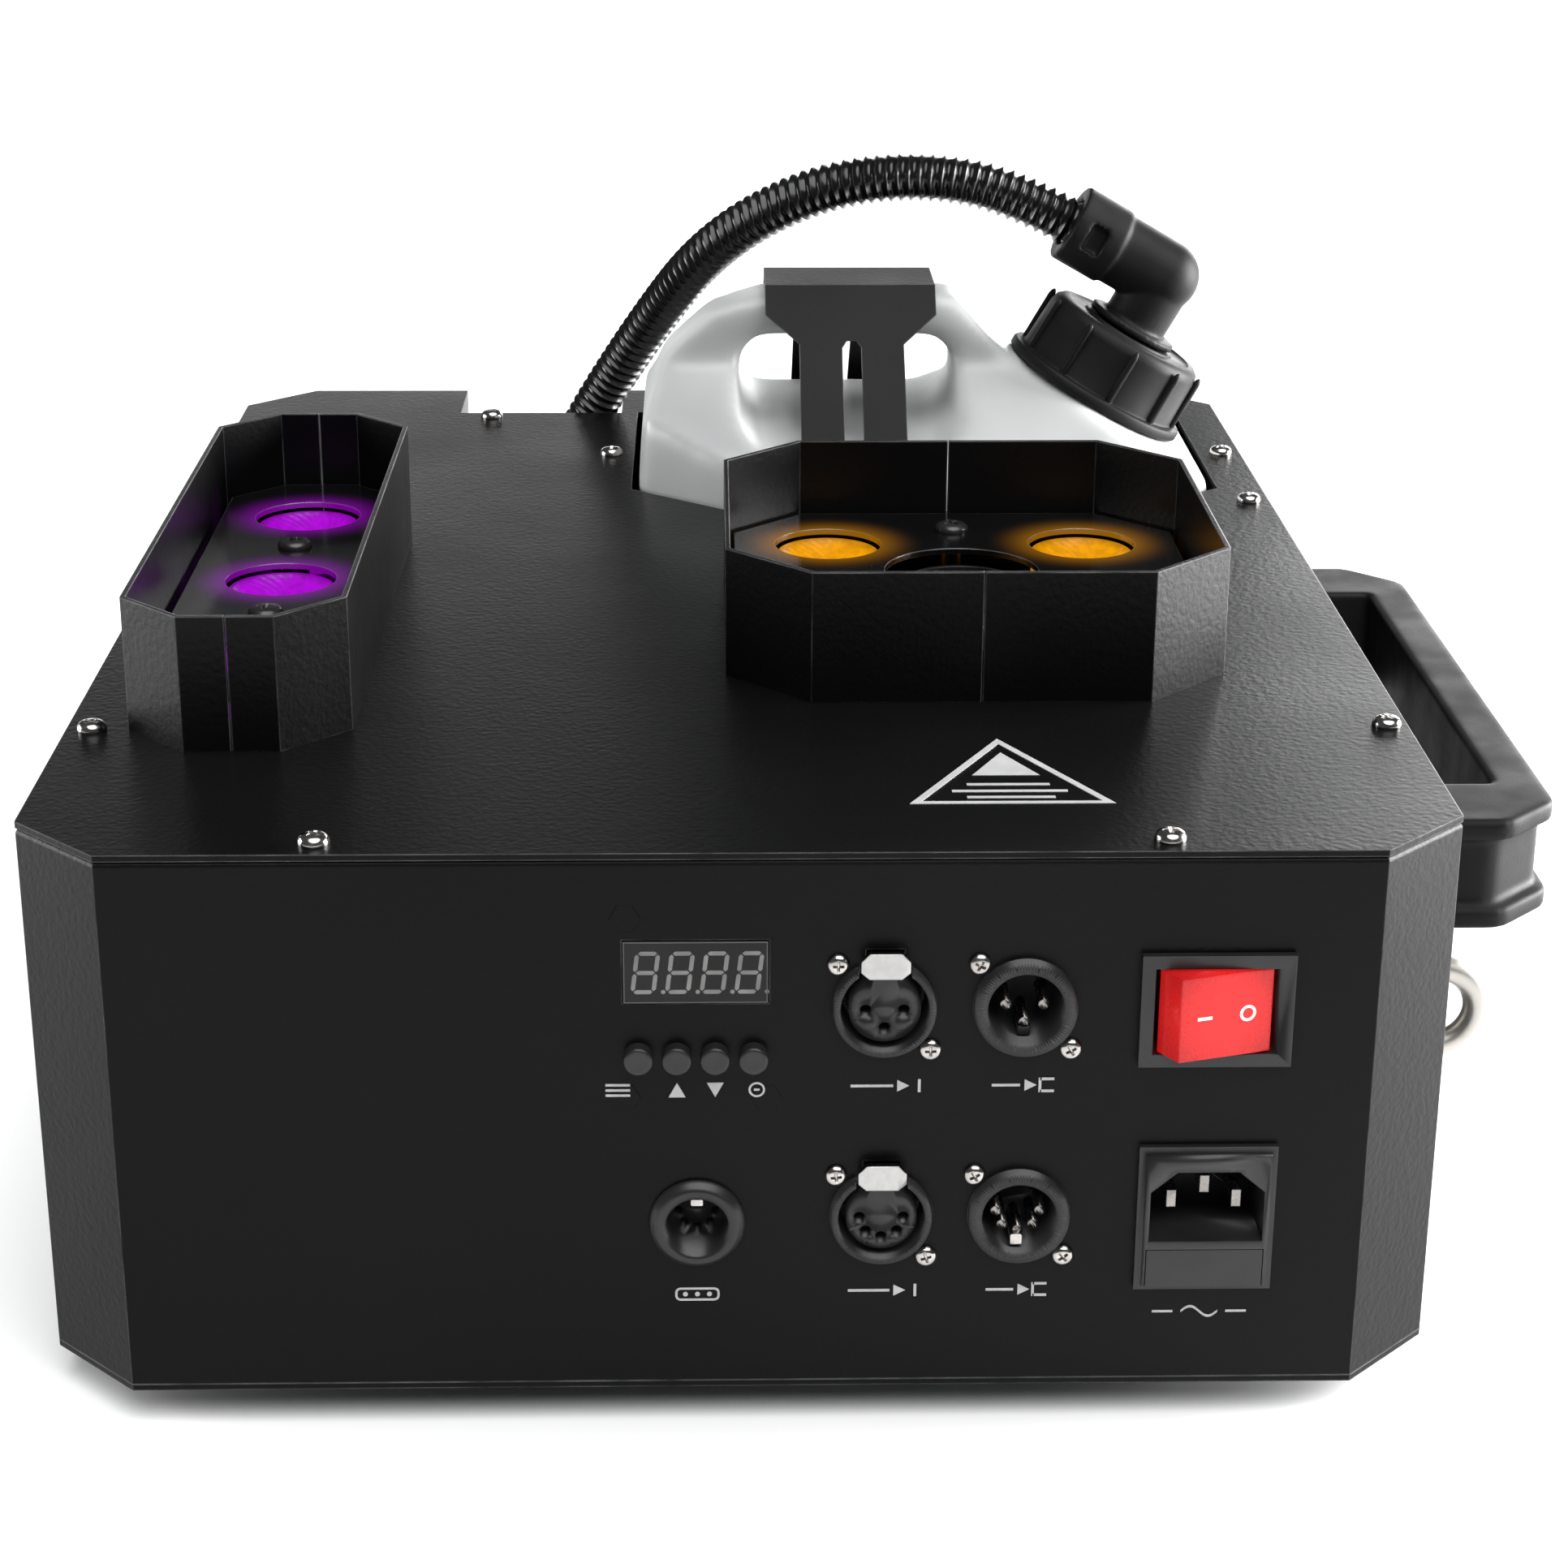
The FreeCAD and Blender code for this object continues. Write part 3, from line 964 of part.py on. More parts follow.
def tube(points, radius):
    """Straight runs joined by tangent arcs, swept with a round section."""
    spots = [FreeCAD.Vector(*point) for point in points]
    edges = []
    radii = []
    start = spots[0]
    for before, here, after in zip(spots, spots[1:], spots[2:]):
        back = before - here
        ahead = after - here
        turn = math.pi - back.getAngle(ahead)
        reach = 0.45 * min(back.Length, ahead.Length)
        radii.append(reach / math.tan(turn / 2))
        back.normalize()
        ahead.normalize()
        entry = here + back * reach
        leave = here + ahead * reach
        middle_way = (back + ahead).normalize()
        centre = here + middle_way * (radii[-1] / math.cos(turn / 2))
        middle = centre - middle_way * radii[-1]
        edges.append(Part.LineSegment(start, entry).toShape())
        edges.append(Part.Arc(entry, middle, leave).toShape())
        start = leave
    edges.append(Part.LineSegment(start, spots[-1]).toShape())
    path = Part.Wire(edges)
    ring = Part.Wire([Part.makeCircle(radius, spots[0], spots[1] - spots[0])])
    solid = path.makePipeShell([ring], True, False)
    expected = math.pi * radius ** 2 * path.Length
    print("tube length", round(path.Length, 1), "radii", [round(r, 1) for r in radii],
          "volume ratio", round(solid.Volume / expected, 4))
    return solid


def hose_route():
    """The suction hose: up out of the bay, over in one arch and down into the elbow's collar."""
    tilt = math.radians(value("neck_tilt"))
    rise = value("cap_height") + value("elbow_rise")
    reach = value("elbow_reach")

    def on_arm(out):
        along = -reach + 12 - out
        x = value("neck_x") + along * math.cos(tilt) + rise * math.sin(tilt)
        z = value("neck_z") - along * math.sin(tilt) + rise * math.cos(tilt)
        return (x, value("bottle_y"), z)

    foot = (evaluate(HOSE_X), evaluate(HOSE_Y), value("bay_floor") + 1)
    end = on_arm(0)
    between = [tuple(a + share * (b - a) for a, b, share in zip(foot, end, shares)) for shares in HOSE_SHARES]
    return [foot] + between + [on_arm(29.8), end]


# how far along each axis, from the gland to the elbow, the hose's corners lie
HOSE_SHARES = [(0, 0, 0.2125), (0.0525, 0.035, 0.4136), (0.2027, 0.29, 0.7365), (0.3208, 0.662, 0.964),
               (0.486, 0.852, 1.101), (0.6655, 0.954, 1.1485)]


def soft_tubes():
    """The hose outside and the two fluid lines inside."""
    hose = document.addObject("Part::Feature", "hose")
    hose.Shape = tube(hose_route(), value("hose_radius"))
    sub_part("suction_hose", hose)
    foot_x = evaluate(HOSE_X)
    foot_y = evaluate(HOSE_Y)
    floor = value("bay_floor")
    pump_x = value("pump_x")
    pump_y = value("pump_y")
    side = value("pump_side") / 2
    inlet = [(foot_x, foot_y, floor - 6.2), (foot_x, foot_y, floor - 22), (foot_x - 6, foot_y - 12, floor - 34),
             (foot_x - 14, foot_y - 34, floor - 40), (foot_x - 24, foot_y - 58, floor - 28),
             (pump_x + 6, pump_y + 38, 66), (pump_x + 3, pump_y + 30, 94), (pump_x + 1, pump_y + 14, 110),
             (pump_x, pump_y, 104), (pump_x, pump_y, 76)]
    heater_x = evaluate("jet_x - heater_width / 2")
    outlet = [(pump_x + side + 10, pump_y, 24), (pump_x + side + 26, pump_y, 24), (pump_x + side + 42, pump_y - 16, 25),
              (pump_x + side + 44, pump_y - 44, 30), (-30, 218, 38), (heater_x - 18, 188, 51), (heater_x, 188, 51)]
    lines = document.addObject("Part::Feature", "lines")
    lines.Shape = Part.makeCompound([tube(inlet, 2.5), tube(outlet, 2.5)])
    sub_part("fluid_lines", lines)


def hose_gland():
    """Threaded gland on the bay's shelf with a nut below it."""
    x = HOSE_X
    y = HOSE_Y
    body = fuse([rod((x, y, "bay_floor"), "hose_radius + 3.6", "7"), rod((x, y, "bay_floor + 7"), "hose_radius + 2.4", "6"),
                 rod((x, y, "bay_floor - 6"), "hose_radius + 1.2", "7"),
                 rod((x, y, "bay_floor - 5"), "hose_radius + 3.5", "5 - thin_sheet")])
    sub_part("hose_gland", cut(body, [rod((x, y, "bay_floor + 1"), "hose_radius + 0.1", "20"),
                                      rod((x, y, "bay_floor - 8"), "3", "12")]))


base_pan()
rubber_feet()
body_shell()
hose_bay()
top_cover()
hood("lamp", ("left_hood_outer_half", "left_hood_inner_half"))
hood("jet", ("right_hood_left_half", "right_hood_right_half"))
lens_plate("left_lens_plate", "lamp", lamp_spots(), PLATE_SCREWS[:2], [])
lens_plate("right_lens_plate", "jet", jet_spots(), PLATE_SCREWS[2:], [("jet_x", "nozzle_y", "nozzle_hole")])
lenses("left_lenses", lamp_spots())
lenses("right_lenses", jet_spots())
led_board("left_led_board", ("lamp_x - 19", "lamp_y - lamp_pitch - 17"), ("lamp_x + 19", "lamp_y + lamp_pitch + 17"),
          None)
led_board("right_led_board", ("jet_x - jet_lens_x / 2 - 17", "jet_y - jet_lens_y / 2 - 17"),
          ("jet_x + jet_lens_x / 2 + 17", "jet_y + jet_lens_y / 2 + 17"), ("jet_x", "nozzle_y"))
sub_part("lens_plate_screws", screws([(x, y, "cover_top + lens_level") for x, y in PLATE_SCREWS], "4.4", "2.2", "1.4",
                                     "lens_level + 3", "z"))
sub_part("cover_screws", screws([(x, y, "cover_top") for x, y in COVER_SCREWS], "3.4", "2.4", "1.8", "6", "z"))
heater()
pump()
bottle_well()
bottle()
bottle_cap()
elbow()
clamp()
side_handle()
eye_bolt()
display_and_buttons()
signal_sockets()
contact_pins()
remote_socket()
mains_inlet()
rocker()
power_boards()
hose_gland()
soft_tubes()
panel_spots = [(f"{x} {a} screw_offset", "0", f"{z} {b} screw_offset") for x in ("socket_left_x", "socket_right_x")
               for z in ("socket_high_z", "socket_low_z") for a, b in (("-", "+"), ("+", "-"))]
sub_part("panel_screws", screws(panel_spots, "2.4", "1.6", "1.4", "5", "y"))

document.recompute()
faults = [thing.Label for thing in document.Objects if "Invalid" in thing.State or "Error" in thing.State]
faults += [thing.Label for thing in sub_parts if thing.Shape.isNull() or not thing.Shape.isValid()]
if faults:
    raise RuntimeError(f"these objects did not build: {faults}")
os.makedirs("parts", exist_ok=True)
for thing in sub_parts:
    thing.Shape.exportStep(f"parts/{thing.Label}.step")
print(len(sub_parts), "sub-parts")
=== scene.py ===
"""Fog machine with two lens hoods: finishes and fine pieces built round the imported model."""
import json
import math

import bmesh
import bpy
from bpy.props import FloatProperty, FloatVectorProperty, IntProperty, PointerProperty
from mathutils import Matrix, Vector


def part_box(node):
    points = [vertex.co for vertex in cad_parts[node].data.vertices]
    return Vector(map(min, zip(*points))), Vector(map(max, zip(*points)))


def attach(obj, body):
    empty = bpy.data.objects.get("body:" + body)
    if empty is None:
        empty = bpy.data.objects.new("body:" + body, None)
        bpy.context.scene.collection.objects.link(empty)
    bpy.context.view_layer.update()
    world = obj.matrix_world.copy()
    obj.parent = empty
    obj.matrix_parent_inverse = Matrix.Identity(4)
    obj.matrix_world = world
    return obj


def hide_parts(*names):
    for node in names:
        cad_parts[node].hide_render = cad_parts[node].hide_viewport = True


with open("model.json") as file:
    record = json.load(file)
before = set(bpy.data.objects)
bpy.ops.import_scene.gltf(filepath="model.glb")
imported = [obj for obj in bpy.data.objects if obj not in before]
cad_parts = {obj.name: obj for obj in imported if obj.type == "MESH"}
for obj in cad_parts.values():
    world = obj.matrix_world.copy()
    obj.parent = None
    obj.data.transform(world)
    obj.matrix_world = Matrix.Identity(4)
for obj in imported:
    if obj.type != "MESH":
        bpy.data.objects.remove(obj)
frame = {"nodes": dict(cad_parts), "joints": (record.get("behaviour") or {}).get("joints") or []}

bl_info = {
    "name": "Fog machine",
    "version": (1, 0, 0),
    "blender": (4, 5, 0),
    "location": "View3D > Sidebar > Fog machine",
    "description": "Finishes and fine pieces of a fog machine with two lens hoods",
    "category": "Object",
}

MM = 0.001
PRINT_LEVELS = (-0.00002, 0.00014)
STEPS_PER_RIB = 8.0
PANEL_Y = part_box("body_shell")[0].y
COVER_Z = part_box("top_cover")[1].z
JOINTS = {joint["name"]: joint for joint in frame["joints"]}
CAP_SEAT = Vector(JOINTS["cap_turn"]["pos_m"])
CAP_AXIS = Vector(JOINTS["cap_turn"]["axis"])
ROCKER_PIVOT = Vector(JOINTS["rocker_tip"]["pos_m"])
ROCKER_TILT = math.radians(16.6)
HOSE_ROUTE = [(-0.0781, 0.190919, 0.067), (-0.0781, 0.190919, 0.0949), (-0.0693, 0.188339, 0.12131),
              (-0.04411, 0.169546, 0.16371), (-0.0243, 0.142128, 0.19358), (0.0034, 0.128125, 0.21157),
              (0.0335, 0.120608, 0.21781), (0.063655, 0.117219, 0.213036), (0.089569, 0.117219, 0.198315)]
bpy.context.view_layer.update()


class FogMachineSizes(bpy.types.PropertyGroup):
    """Sizes of the fine pieces."""
    hose_radius: FloatProperty(name="Hose radius", description="Outer radius of the ribbed suction hose",
                               default=0.00705, min=0.002, unit="LENGTH")
    rib_pitch: FloatProperty(name="Rib pitch", description="Distance between two ribs of the hose",
                             default=0.0031, min=0.001, unit="LENGTH")
    rib_depth: FloatProperty(name="Rib depth", description="Depth of the grooves between the hose's ribs",
                             default=0.0012, min=0.0, unit="LENGTH")
    grip_ribs: IntProperty(name="Grip ribs", description="Number of ribs round the bottle cap", default=10,
                           min=3)
    bottle_skin: FloatProperty(name="Bottle skin", description="Cell size of the bottle's rounded skin",
                               default=0.002, min=0.001, unit="LENGTH")
    screw_recess: FloatProperty(name="Screw recess", description="Depth of the cross recess in a screw head",
                                default=0.0011, min=0.0002, unit="LENGTH")
    peel_scale: FloatProperty(name="Peel scale", description="Bumps per metre of the powder coat's relief",
                              default=620.0, min=50.0)
    digit_height: FloatProperty(name="Digit height", description="Height of a digit of the display",
                                default=0.0087, min=0.002, unit="LENGTH")
    lens_facets: IntProperty(name="Lens facets", description="Facets round each lens reflector", default=56,
                             min=12)


def colour(name, text, value):
    """A colour setting with its description."""
    return FloatVectorProperty(name=name, description=text, subtype="COLOR", size=4, min=0.0, max=1.0,
                               default=(*value, 1.0))


class FogMachineColours(bpy.types.PropertyGroup):
    """Colours of the finishes."""
    coat: colour("Powder coat", "Colour of the case's powder coat", (0.0028, 0.0028, 0.0029))
    bare_edge: colour("Bare edge", "Colour of a worn or cut edge of the sheet", (0.20, 0.20, 0.20))
    moulding: colour("Moulding", "Colour of the black moulded parts", (0.006, 0.006, 0.0063))
    conduit: colour("Conduit", "Colour of the ribbed hose", (0.004, 0.004, 0.0042))
    bottle: colour("Bottle", "Colour of the milky bottle", (0.42, 0.425, 0.425))
    violet: colour("Left lamps", "Light of the left hood's lamps", (0.36, 0.0, 0.56))
    amber: colour("Right lamps", "Light of the right hood's lamps", (0.76, 0.30, 0.0))
    paddle: colour("Rocker", "Colour of the lit rocker", (0.30, 0.006, 0.006))
    ink: colour("Print", "Colour of the printed marks", (0.42, 0.42, 0.42))
    floor: colour("Floor", "Colour of the floor", (0.92, 0.92, 0.92))


def sizes():
    """The scene's size settings."""
    return bpy.context.scene.fog_machine_sizes


def colours():
    """The scene's colour settings."""
    return bpy.context.scene.fog_machine_colours


# ---------------------------------------------------------------- meshes

def middle(node):
    """Middle of a node's box."""
    low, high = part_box(node)
    return (low + high) / 2


def merged(node):
    """A copy of a node's mesh with its loose triangles joined."""
    shape = bmesh.new()
    shape.from_mesh(frame["nodes"][node].data)
    bmesh.ops.remove_doubles(shape, verts=shape.verts, dist=2e-6)
    return shape


def solids_of(node):
    """Lowest and highest corner of each separate solid of a node."""
    shape = merged(node)
    left = set(shape.verts)
    found = []
    while left:
        heap = [left.pop()]
        low = heap[0].co.copy()
        high = heap[0].co.copy()
        while heap:
            corner = heap.pop()
            low = Vector(map(min, low, corner.co))
            high = Vector(map(max, high, corner.co))
            for edge in corner.link_edges:
                other = edge.other_vert(corner)
                if other in left:
                    left.remove(other)
                    heap.append(other)
        found.append((low, high))
    shape.free()
    return sorted(found, key=lambda pair: tuple(round(value, 4) for value in pair[0]))


def lathe(profile, steps=64):
    """A closed shape of revolution about Z from (radius, height) pairs."""
    shape = bmesh.new()
    rings = []
    for radius, height in profile:
        if radius < 1e-7:
            rings.append([shape.verts.new((0, 0, height))])
        else:
            rings.append([shape.verts.new((radius * math.cos(2 * math.pi * i / steps),
                                           radius * math.sin(2 * math.pi * i / steps), height))
                          for i in range(steps)])
    pairs = list(zip(rings, rings[1:]))
    if len(rings[0]) > 1:
        pairs.append((rings[-1], rings[0]))
    for one, two in pairs:
        for i in range(steps):
            corners = [one[i % len(one)], one[(i + 1) % len(one)], two[(i + 1) % len(two)], two[i % len(two)]]
            shape.faces.new(list(dict.fromkeys(corners)))
    bmesh.ops.recalc_face_normals(shape, faces=shape.faces)
    return shape


def prism(outline, low, high, into=None, spread=1.0):
    """An outline in X and Y drawn out along Z; spread scales its far end."""
    shape = into or bmesh.new()
    far = [(x * spread, y * spread) for x, y in outline]
    one = [shape.verts.new((x, y, low)) for x, y in outline]
    two = [shape.verts.new((x, y, high)) for x, y in far]
    made = [shape.faces.new(one), shape.faces.new(two)]
    for i in range(len(one)):
        j = (i + 1) % len(one)
        made.append(shape.faces.new((one[i], one[j], two[j], two[i])))
    bmesh.ops.recalc_face_normals(shape, faces=made)
    return shape


def band(outer, inner, low, high, into=None):
    """A flat frame between two outlines with the same number of corners."""
    shape = into or bmesh.new()
    levels = [[shape.verts.new((x, y, z)) for x, y in line] for z in (low, high) for line in (outer, inner)]
    made = []
    for i in range(len(outer)):
        j = (i + 1) % len(outer)
        for a, b in ((0, 1), (2, 3), (0, 2), (1, 3)):
            made.append(shape.faces.new((levels[a][i], levels[a][j], levels[b][j], levels[b][i])))
    bmesh.ops.recalc_face_normals(shape, faces=made)
    return shape


def circle(x, y, radius, steps=32):
    """Corners of a circle."""
    return [(x + radius * math.cos(2 * math.pi * i / steps), y + radius * math.sin(2 * math.pi * i / steps))
            for i in range(steps)]


def rectangle(x, y, width, height):
    """Corners of a rectangle about its middle."""
    return [(x - width / 2, y - height / 2), (x + width / 2, y - height / 2),
            (x + width / 2, y + height / 2), (x - width / 2, y + height / 2)]


def rounded(x, y, width, height, radius, steps=5):
    """Corners of a rectangle with rounded corners."""
    points = []
    for quarter, (a, b) in enumerate(((1, 1), (-1, 1), (-1, -1), (1, -1))):
        cx = x + a * (width / 2 - radius)
        cy = y + b * (height / 2 - radius)
        for i in range(steps + 1):
            turn = math.pi / 2 * (quarter + i / steps)
            points.append((cx + radius * math.cos(turn), cy + radius * math.sin(turn)))
    return points


def facing(origin, direction, turn=0.0):
    """A place whose own Z points along a direction, turned about it."""
    return (Matrix.Translation(origin) @ Vector(direction).to_track_quat("Z", "Y").to_matrix().to_4x4()
            @ Matrix.Rotation(turn, 4, "Z"))


def on_panel(x=0.0, z=0.0, reach=0.0):
    """A place on the control panel: X to the right, Y upwards, Z out of the panel."""
    return Matrix.Translation((x, PANEL_Y - reach, z)) @ Matrix.Rotation(math.pi / 2, 4, "X")


def to_mesh(shape, name, place=None):
    """Turn a bmesh into a mesh in the row frame."""
    if place is not None:
        bmesh.ops.transform(shape, matrix=place, verts=shape.verts)
    mesh = bpy.data.meshes.new(name)
    shape.to_mesh(mesh)
    shape.free()
    return mesh


def finished(thing, name):
    """The plain mesh of an object with its modifiers applied; the object is removed."""
    bpy.context.view_layer.update()
    depsgraph = bpy.context.evaluated_depsgraph_get()
    mesh = bpy.data.meshes.new_from_object(thing.evaluated_get(depsgraph), depsgraph=depsgraph)
    mesh.name = name
    bpy.data.objects.remove(thing)
    return mesh


def loose_object(name, data):
    """A new object in the scene that is not a piece yet."""
    thing = bpy.data.objects.new(name, data)
    bpy.context.scene.collection.objects.link(thing)
    return thing


def dress(node, finish_of_it):
    """Give a CAD node's mesh one finish."""
    materials = frame["nodes"][node].data.materials
    materials.clear()
    materials.append(finish_of_it)


def in_mm(points):
    """A profile given in millimetres, in metres."""
    return [(a * MM, b * MM) for a, b in points]


def piece(name, mesh, body, finish, stands_for=(), smooth=35.0):
    """Make a mesh a finished piece that rides on a body."""
    thing = loose_object(name, mesh)
    mesh.materials.clear()
    mesh.materials.append(finish)
    if smooth:
        mesh.polygons.foreach_set("use_smooth", [True] * len(mesh.polygons))
        mesh.set_sharp_from_angle(angle=math.radians(smooth))
    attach(thing, body)
    if stands_for:
        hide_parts(*stands_for)
    return thing


def skinned(shape, name, cell, rounds):
    """A moulded look: the shape gets an even skin whose edges are smoothed round."""
    thing = loose_object(name, to_mesh(shape, name))
    skin = thing.modifiers.new("skin", "REMESH")
    skin.mode = "VOXEL"
    skin.voxel_size = cell
    smooth = thing.modifiers.new("smooth", "SMOOTH")
    smooth.factor = 0.5
    smooth.iterations = rounds
    return finished(thing, name)


# ---------------------------------------------------------------- finishes

class Shader:
    """A material being built from nodes."""

    def __init__(self, name):
        self.material = bpy.data.materials.new(name)
        self.material.use_nodes = True
        self.tree = self.material.node_tree
        self.surface = self.tree.nodes["Principled BSDF"]
        self.place = self.add("ShaderNodeTexCoord").outputs["Object"]

    def add(self, kind, inputs=None, **settings):
        """A node with its settings, and each input linked or set."""
        node = self.tree.nodes.new(kind)
        for key, value in settings.items():
            setattr(node, key, value)
        for key, value in (inputs or {}).items():
            self.give(node.inputs[key], value)
        return node

    def give(self, socket, value):
        """Link a socket to an output or set its value."""
        if isinstance(value, bpy.types.NodeSocket):
            self.tree.links.new(value, socket)
        else:
            socket.default_value = value

    def noise(self, scale, detail=2.0):
        """Noise over the piece, as a number about one half."""
        inputs = {"Vector": self.place, "Scale": scale, "Detail": detail}
        return self.add("ShaderNodeTexNoise", inputs).outputs["Fac"]

    def spread(self, value, low, high, start=0.35, end=0.65, smooth=False):
        """Spread a number from one range to another."""
        kind = "SMOOTHSTEP" if smooth else "LINEAR"
        inputs = {"Value": value, "From Min": start, "From Max": end, "To Min": low, "To Max": high}
        return self.add("ShaderNodeMapRange", inputs, interpolation_type=kind).outputs["Result"]

    def mixed(self, amount, one, two):
        """A blend of two colours."""
        node = self.add("ShaderNodeMix", data_type="RGBA")
        self.give(node.inputs[0], amount)
        self.give(node.inputs[6], one)
        self.give(node.inputs[7], two)
        return node.outputs[2]

    def total(self, kind, one, two):
        """Two numbers put together."""
        node = self.add("ShaderNodeMath", operation=kind)
        self.give(node.inputs[0], one)
        self.give(node.inputs[1], two)
        return node.outputs[0]

    def glow(self, spots, start, end):
        """Mask of a painted glow: one near the spots, fading to nothing at a distance."""
        amount = None
        for spot in spots:
            gap = self.add("ShaderNodeVectorMath", {0: self.place, 1: spot},
                           operation="DISTANCE").outputs["Value"]
            near = self.spread(gap, 1.0, 0.0, start, end, smooth=True)
            amount = near if amount is None else self.total("MAXIMUM", amount, near)
        return self.total("POWER", amount, 2.0)


def finish(name, base, rough, other=None, patch=25.0, metal=0.0, level=0.5, grain=None, edge=0.0004,
           worn=None, glow=None):
    """A finish with patchy colour, uneven gloss, fine relief, softened or worn edges and an optional painted
    glow of nearby lamps.
    """
    known = bpy.data.materials.get(name)
    if known:
        return known
    shader = Shader(name)
    surface = shader.surface
    other = other or tuple(min(1.0, value * 1.45) for value in base[:3]) + (1.0,)
    blotches = shader.spread(shader.noise(patch, 4.0), 0.0, 1.0)
    tint = shader.mixed(blotches, base, other)
    soft = shader.add("ShaderNodeBevel", {"Radius": edge}, samples=4).outputs["Normal"]
    if worn:
        flat = shader.add("ShaderNodeNewGeometry").outputs["Normal"]
        match = shader.add("ShaderNodeVectorMath", {0: soft, 1: flat},
                           operation="DOT_PRODUCT").outputs["Value"]
        rubbed = shader.spread(match, 1.0, 0.0, 0.86, 0.985)
        patchy = shader.spread(shader.noise(90.0, 3.0), 0.15, 1.0, 0.3, 0.7)
        tint = shader.mixed(shader.total("MULTIPLY", rubbed, patchy), tint, worn)
    shader.give(surface.inputs["Base Color"], tint)
    shader.give(surface.inputs["Roughness"], shader.spread(shader.noise(patch * 2.3, 3.0), rough[0],
                                                           rough[1]))
    surface.inputs["Metallic"].default_value = metal
    surface.inputs["Specular IOR Level"].default_value = level
    scale, strength, depth = grain or (1500.0, 0.08, 0.00005)
    relief = shader.add("ShaderNodeBump", {"Strength": strength, "Distance": depth, "Normal": soft,
                                           "Height": shader.noise(scale, 2.0)}).outputs["Normal"]
    shader.give(surface.inputs["Normal"], relief)
    # Painted glow: emission round the spots stands in for lamp light falling on this surface, which is no
    # lamp.
    if glow:
        spots, light, start, end, strength = glow
        surface.inputs["Emission Color"].default_value = light
        shader.give(surface.inputs["Emission Strength"],
                    shader.total("MULTIPLY", shader.glow(spots, start, end), strength))
    return shader.material


def coated(name, rough, level, **more):
    """Black powder coat with a fine orange-peel relief."""
    return finish(name, colours().coat, rough, patch=6.0, level=level,
                  grain=(sizes().peel_scale, 0.42, 0.00022), edge=0.0005, **more)


def powder_coat():
    """Powder coat of the case, with pale worn edges."""
    return coated("powder_coat", (0.30, 0.38), 0.09, worn=colours().bare_edge)


def moulded_plastic():
    """Dull black moulded plastic."""
    return finish("moulded_plastic", colours().moulding, (0.42, 0.54), patch=40.0, level=0.12,
                  grain=(1900.0, 0.22, 0.0001), edge=0.0003)


def nickel_plate():
    """Bright nickel plating with faint smears."""
    return finish("nickel_plate", (0.50, 0.475, 0.455, 1), (0.10, 0.24), other=(0.38, 0.36, 0.345, 1),
                  patch=350.0,
                  metal=1.0, edge=0.0002)


def blackened_steel():
    """Dark oiled steel of the inner sheet pieces and the plate screws."""
    return finish("blackened_steel", (0.03, 0.029, 0.029, 1), (0.22, 0.36), patch=200.0, metal=0.6,
                  edge=0.0003)


def raw_steel():
    """Dull forged steel with a mottled skin."""
    return finish("raw_steel", (0.10, 0.094, 0.087, 1), (0.38, 0.5), other=(0.05, 0.047, 0.043, 1),
                  patch=260.0,
                  metal=1.0, grain=(900.0, 0.35, 0.0002), edge=0.0004)


# ---------------------------------------------------------------- repeats by geometry nodes

SOCKETS = {"length": "NodeSocketFloat", "number": "NodeSocketInt", "vector": "NodeSocketVector",
           "object": "NodeSocketObject", "material": "NodeSocketMaterial"}


class Pattern:
    """A geometry node tree being built, with named inputs."""

    def __init__(self, name, inputs):
        self.tree = bpy.data.node_groups.new(name, "GeometryNodeTree")
        self.tree.interface.new_socket("Geometry", in_out="INPUT", socket_type="NodeSocketGeometry")
        for label, kind in inputs.items():
            self.tree.interface.new_socket(label, in_out="INPUT", socket_type=SOCKETS[kind])
        self.tree.interface.new_socket("Geometry", in_out="OUTPUT", socket_type="NodeSocketGeometry")
        self.start = self.tree.nodes.new("NodeGroupInput").outputs
        self.end = self.tree.nodes.new("NodeGroupOutput").inputs

    def add(self, kind, inputs=None, **settings):
        """A node with its settings, and each input linked or set."""
        node = self.tree.nodes.new(kind)
        for key, value in settings.items():
            setattr(node, key, value)
        for key, value in (inputs or {}).items():
            if isinstance(value, bpy.types.NodeSocket):
                self.tree.links.new(value, node.inputs[key])
            else:
                node.inputs[key].default_value = value
        return node

    def math(self, operation, one, two=0.0):
        """A sum of two numbers."""
        return self.add("ShaderNodeMath", {0: one, 1: two}, operation=operation).outputs[0]

    def close(self, geometry):
        """End the tree: real geometry with its material."""
        real = self.add("GeometryNodeRealizeInstances", {"Geometry": geometry}).outputs[0]
        dressed = self.add("GeometryNodeSetMaterial",
                           {"Geometry": real, "Material": self.start["Finish"]}).outputs[0]
        self.tree.links.new(dressed, self.end["Geometry"])
        return self.tree


def screw_pattern():
    """Screws on points: each stands along an axis and is turned at random about it."""
    known = bpy.data.node_groups.get("screws_on_points")
    if known:
        return known
    pattern = Pattern("screws_on_points", {"Screw": "object", "Axis": "vector", "Seed": "number",
                                           "Finish": "material"})
    screw = pattern.add("GeometryNodeObjectInfo", {"Object": pattern.start["Screw"]}).outputs["Geometry"]
    along = pattern.add("FunctionNodeAlignRotationToVector", {"Vector": pattern.start["Axis"]}, axis="Z")
    chance = pattern.add("FunctionNodeRandomValue", {2: 0.0, 3: 6.2832, "Seed": pattern.start["Seed"]},
                         data_type="FLOAT")
    about = pattern.add("FunctionNodeAxisAngleToRotation", {"Axis": (0, 0, 1), "Angle": chance.outputs[1]})
    turned = pattern.add("FunctionNodeRotateRotation", {0: along.outputs[0], 1: about.outputs[0]},
                         rotation_space="LOCAL")
    placed = pattern.add("GeometryNodeInstanceOnPoints",
                         {"Points": pattern.start["Geometry"], "Instance": screw,
                                                          "Rotation": turned.outputs[0]})
    return pattern.close(placed.outputs[0])


